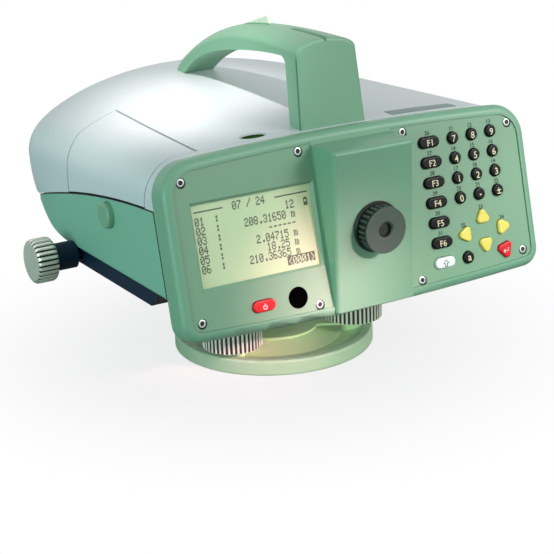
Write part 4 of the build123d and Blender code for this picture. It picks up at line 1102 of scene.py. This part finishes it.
# %% Bare plate on the cover
plate_x, plate_y, plate_width, plate_depth = 52.5, -58.0, 37.0, 7.0
plate_height, plate_thickness, drop_from = 0.25, 0.4, 200
cover = nodes["top_cover"].data
cover_tree = BVHTree.FromPolygons([vert.co for vert in cover.vertices],
                                  [face.vertices for face in cover.polygons])
plate = bmesh.new()
bmesh.ops.create_grid(plate, x_segments=24, y_segments=6, size=0.5)
for vert in plate.verts:
    start = Vector((plate_x + vert.co.x * plate_width, plate_y + vert.co.y * plate_depth, drop_from)) * MM
    surface = cover_tree.ray_cast(start, Vector((0, 0, -1)))[0]
    vert.co = surface + Vector((0, 0, plate_height * MM))
lower = bmesh.ops.extrude_face_region(plate, geom=plate.faces[:])
sunk = [item for item in lower["geom"] if isinstance(item, bmesh.types.BMVert)]
bmesh.ops.translate(plate, verts=sunk, vec=(0, 0, -plate_thickness * MM))
bmesh.ops.recalc_face_normals(plate, faces=plate.faces)
plate_finish = painted("plate_grey", tint(112, 132, 130), 0.45, 1800.0, 0.05)
add_piece("bare_plate", mesh_from(plate, "plate"), plate_finish, "upper")
print("plate of", plate_width, "by", plate_depth, "mm")

# %% [markdown]
# The horizontal circle is read against a mark below the tray. Its graduation runs round the rim: fine lines
# all the way, a longer one every thirty degrees and a number at each of those.

# %% Graduated circle
circle_low, circle_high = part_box("horizontal_circle")
circle_radius = (circle_high.x - circle_low.x) / 2
tick_depth, tick_width, tick_gap = 0.1, 0.22, 0.3
fine_turn, number_turn, number_drop, number_height = 3, 30, 2.8, 1.2
lines = []
for turn, height in ((fine_turn, 1.0), (number_turn, 1.7)):
    tick = block(tick_depth, tick_width, height)
    tick.transform(Matrix.Translation((0, 0, circle_high.z - (tick_gap + height / 2) * MM)))
    lines.append(copied_round(tick, dark_print, 360 // turn, circle_radius))
for degrees in range(0, 360, number_turn):
    heading = radians(degrees)
    outward = Vector((cos(heading), sin(heading), 0))
    upright = Matrix((Vector((-outward.y, outward.x, 0)), Vector((0, 0, 1)), outward)).transposed().to_4x4()
    place = (circle_radius + tick_depth / 2 * MM) * outward
    place.z = circle_high.z - number_drop * MM
    lines.append(settled(lettering(str(degrees)), place, upright, height=number_height))
add_piece("graduation", joined(lines), dark_print, "horizontal_circle")
print("graduation on a radius of", round(circle_radius / MM, 1), "mm")

# %% [markdown]
# ## Dressing the solids
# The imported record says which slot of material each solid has. A solid's mesh is left as it is: only its
# material slots are filled. The levelling wheels and the housing take the finishes made for them alone.

# %% Finishes on the solids
slot_of = {entry["node"]: entry["material_slot"] for entry in frame["record"]["subparts"]}
own_finishes = {**wheel_finishes, "lower_housing": housing}
for node, solid in nodes.items():
    finish = own_finishes.get(node) or finishes[slot_of[node]]
    solid.data.materials.clear()
    solid.data.materials.append(finish.material)
print(len(slot_of), "solids dressed in", len(set(slot_of.values())), "finishes")
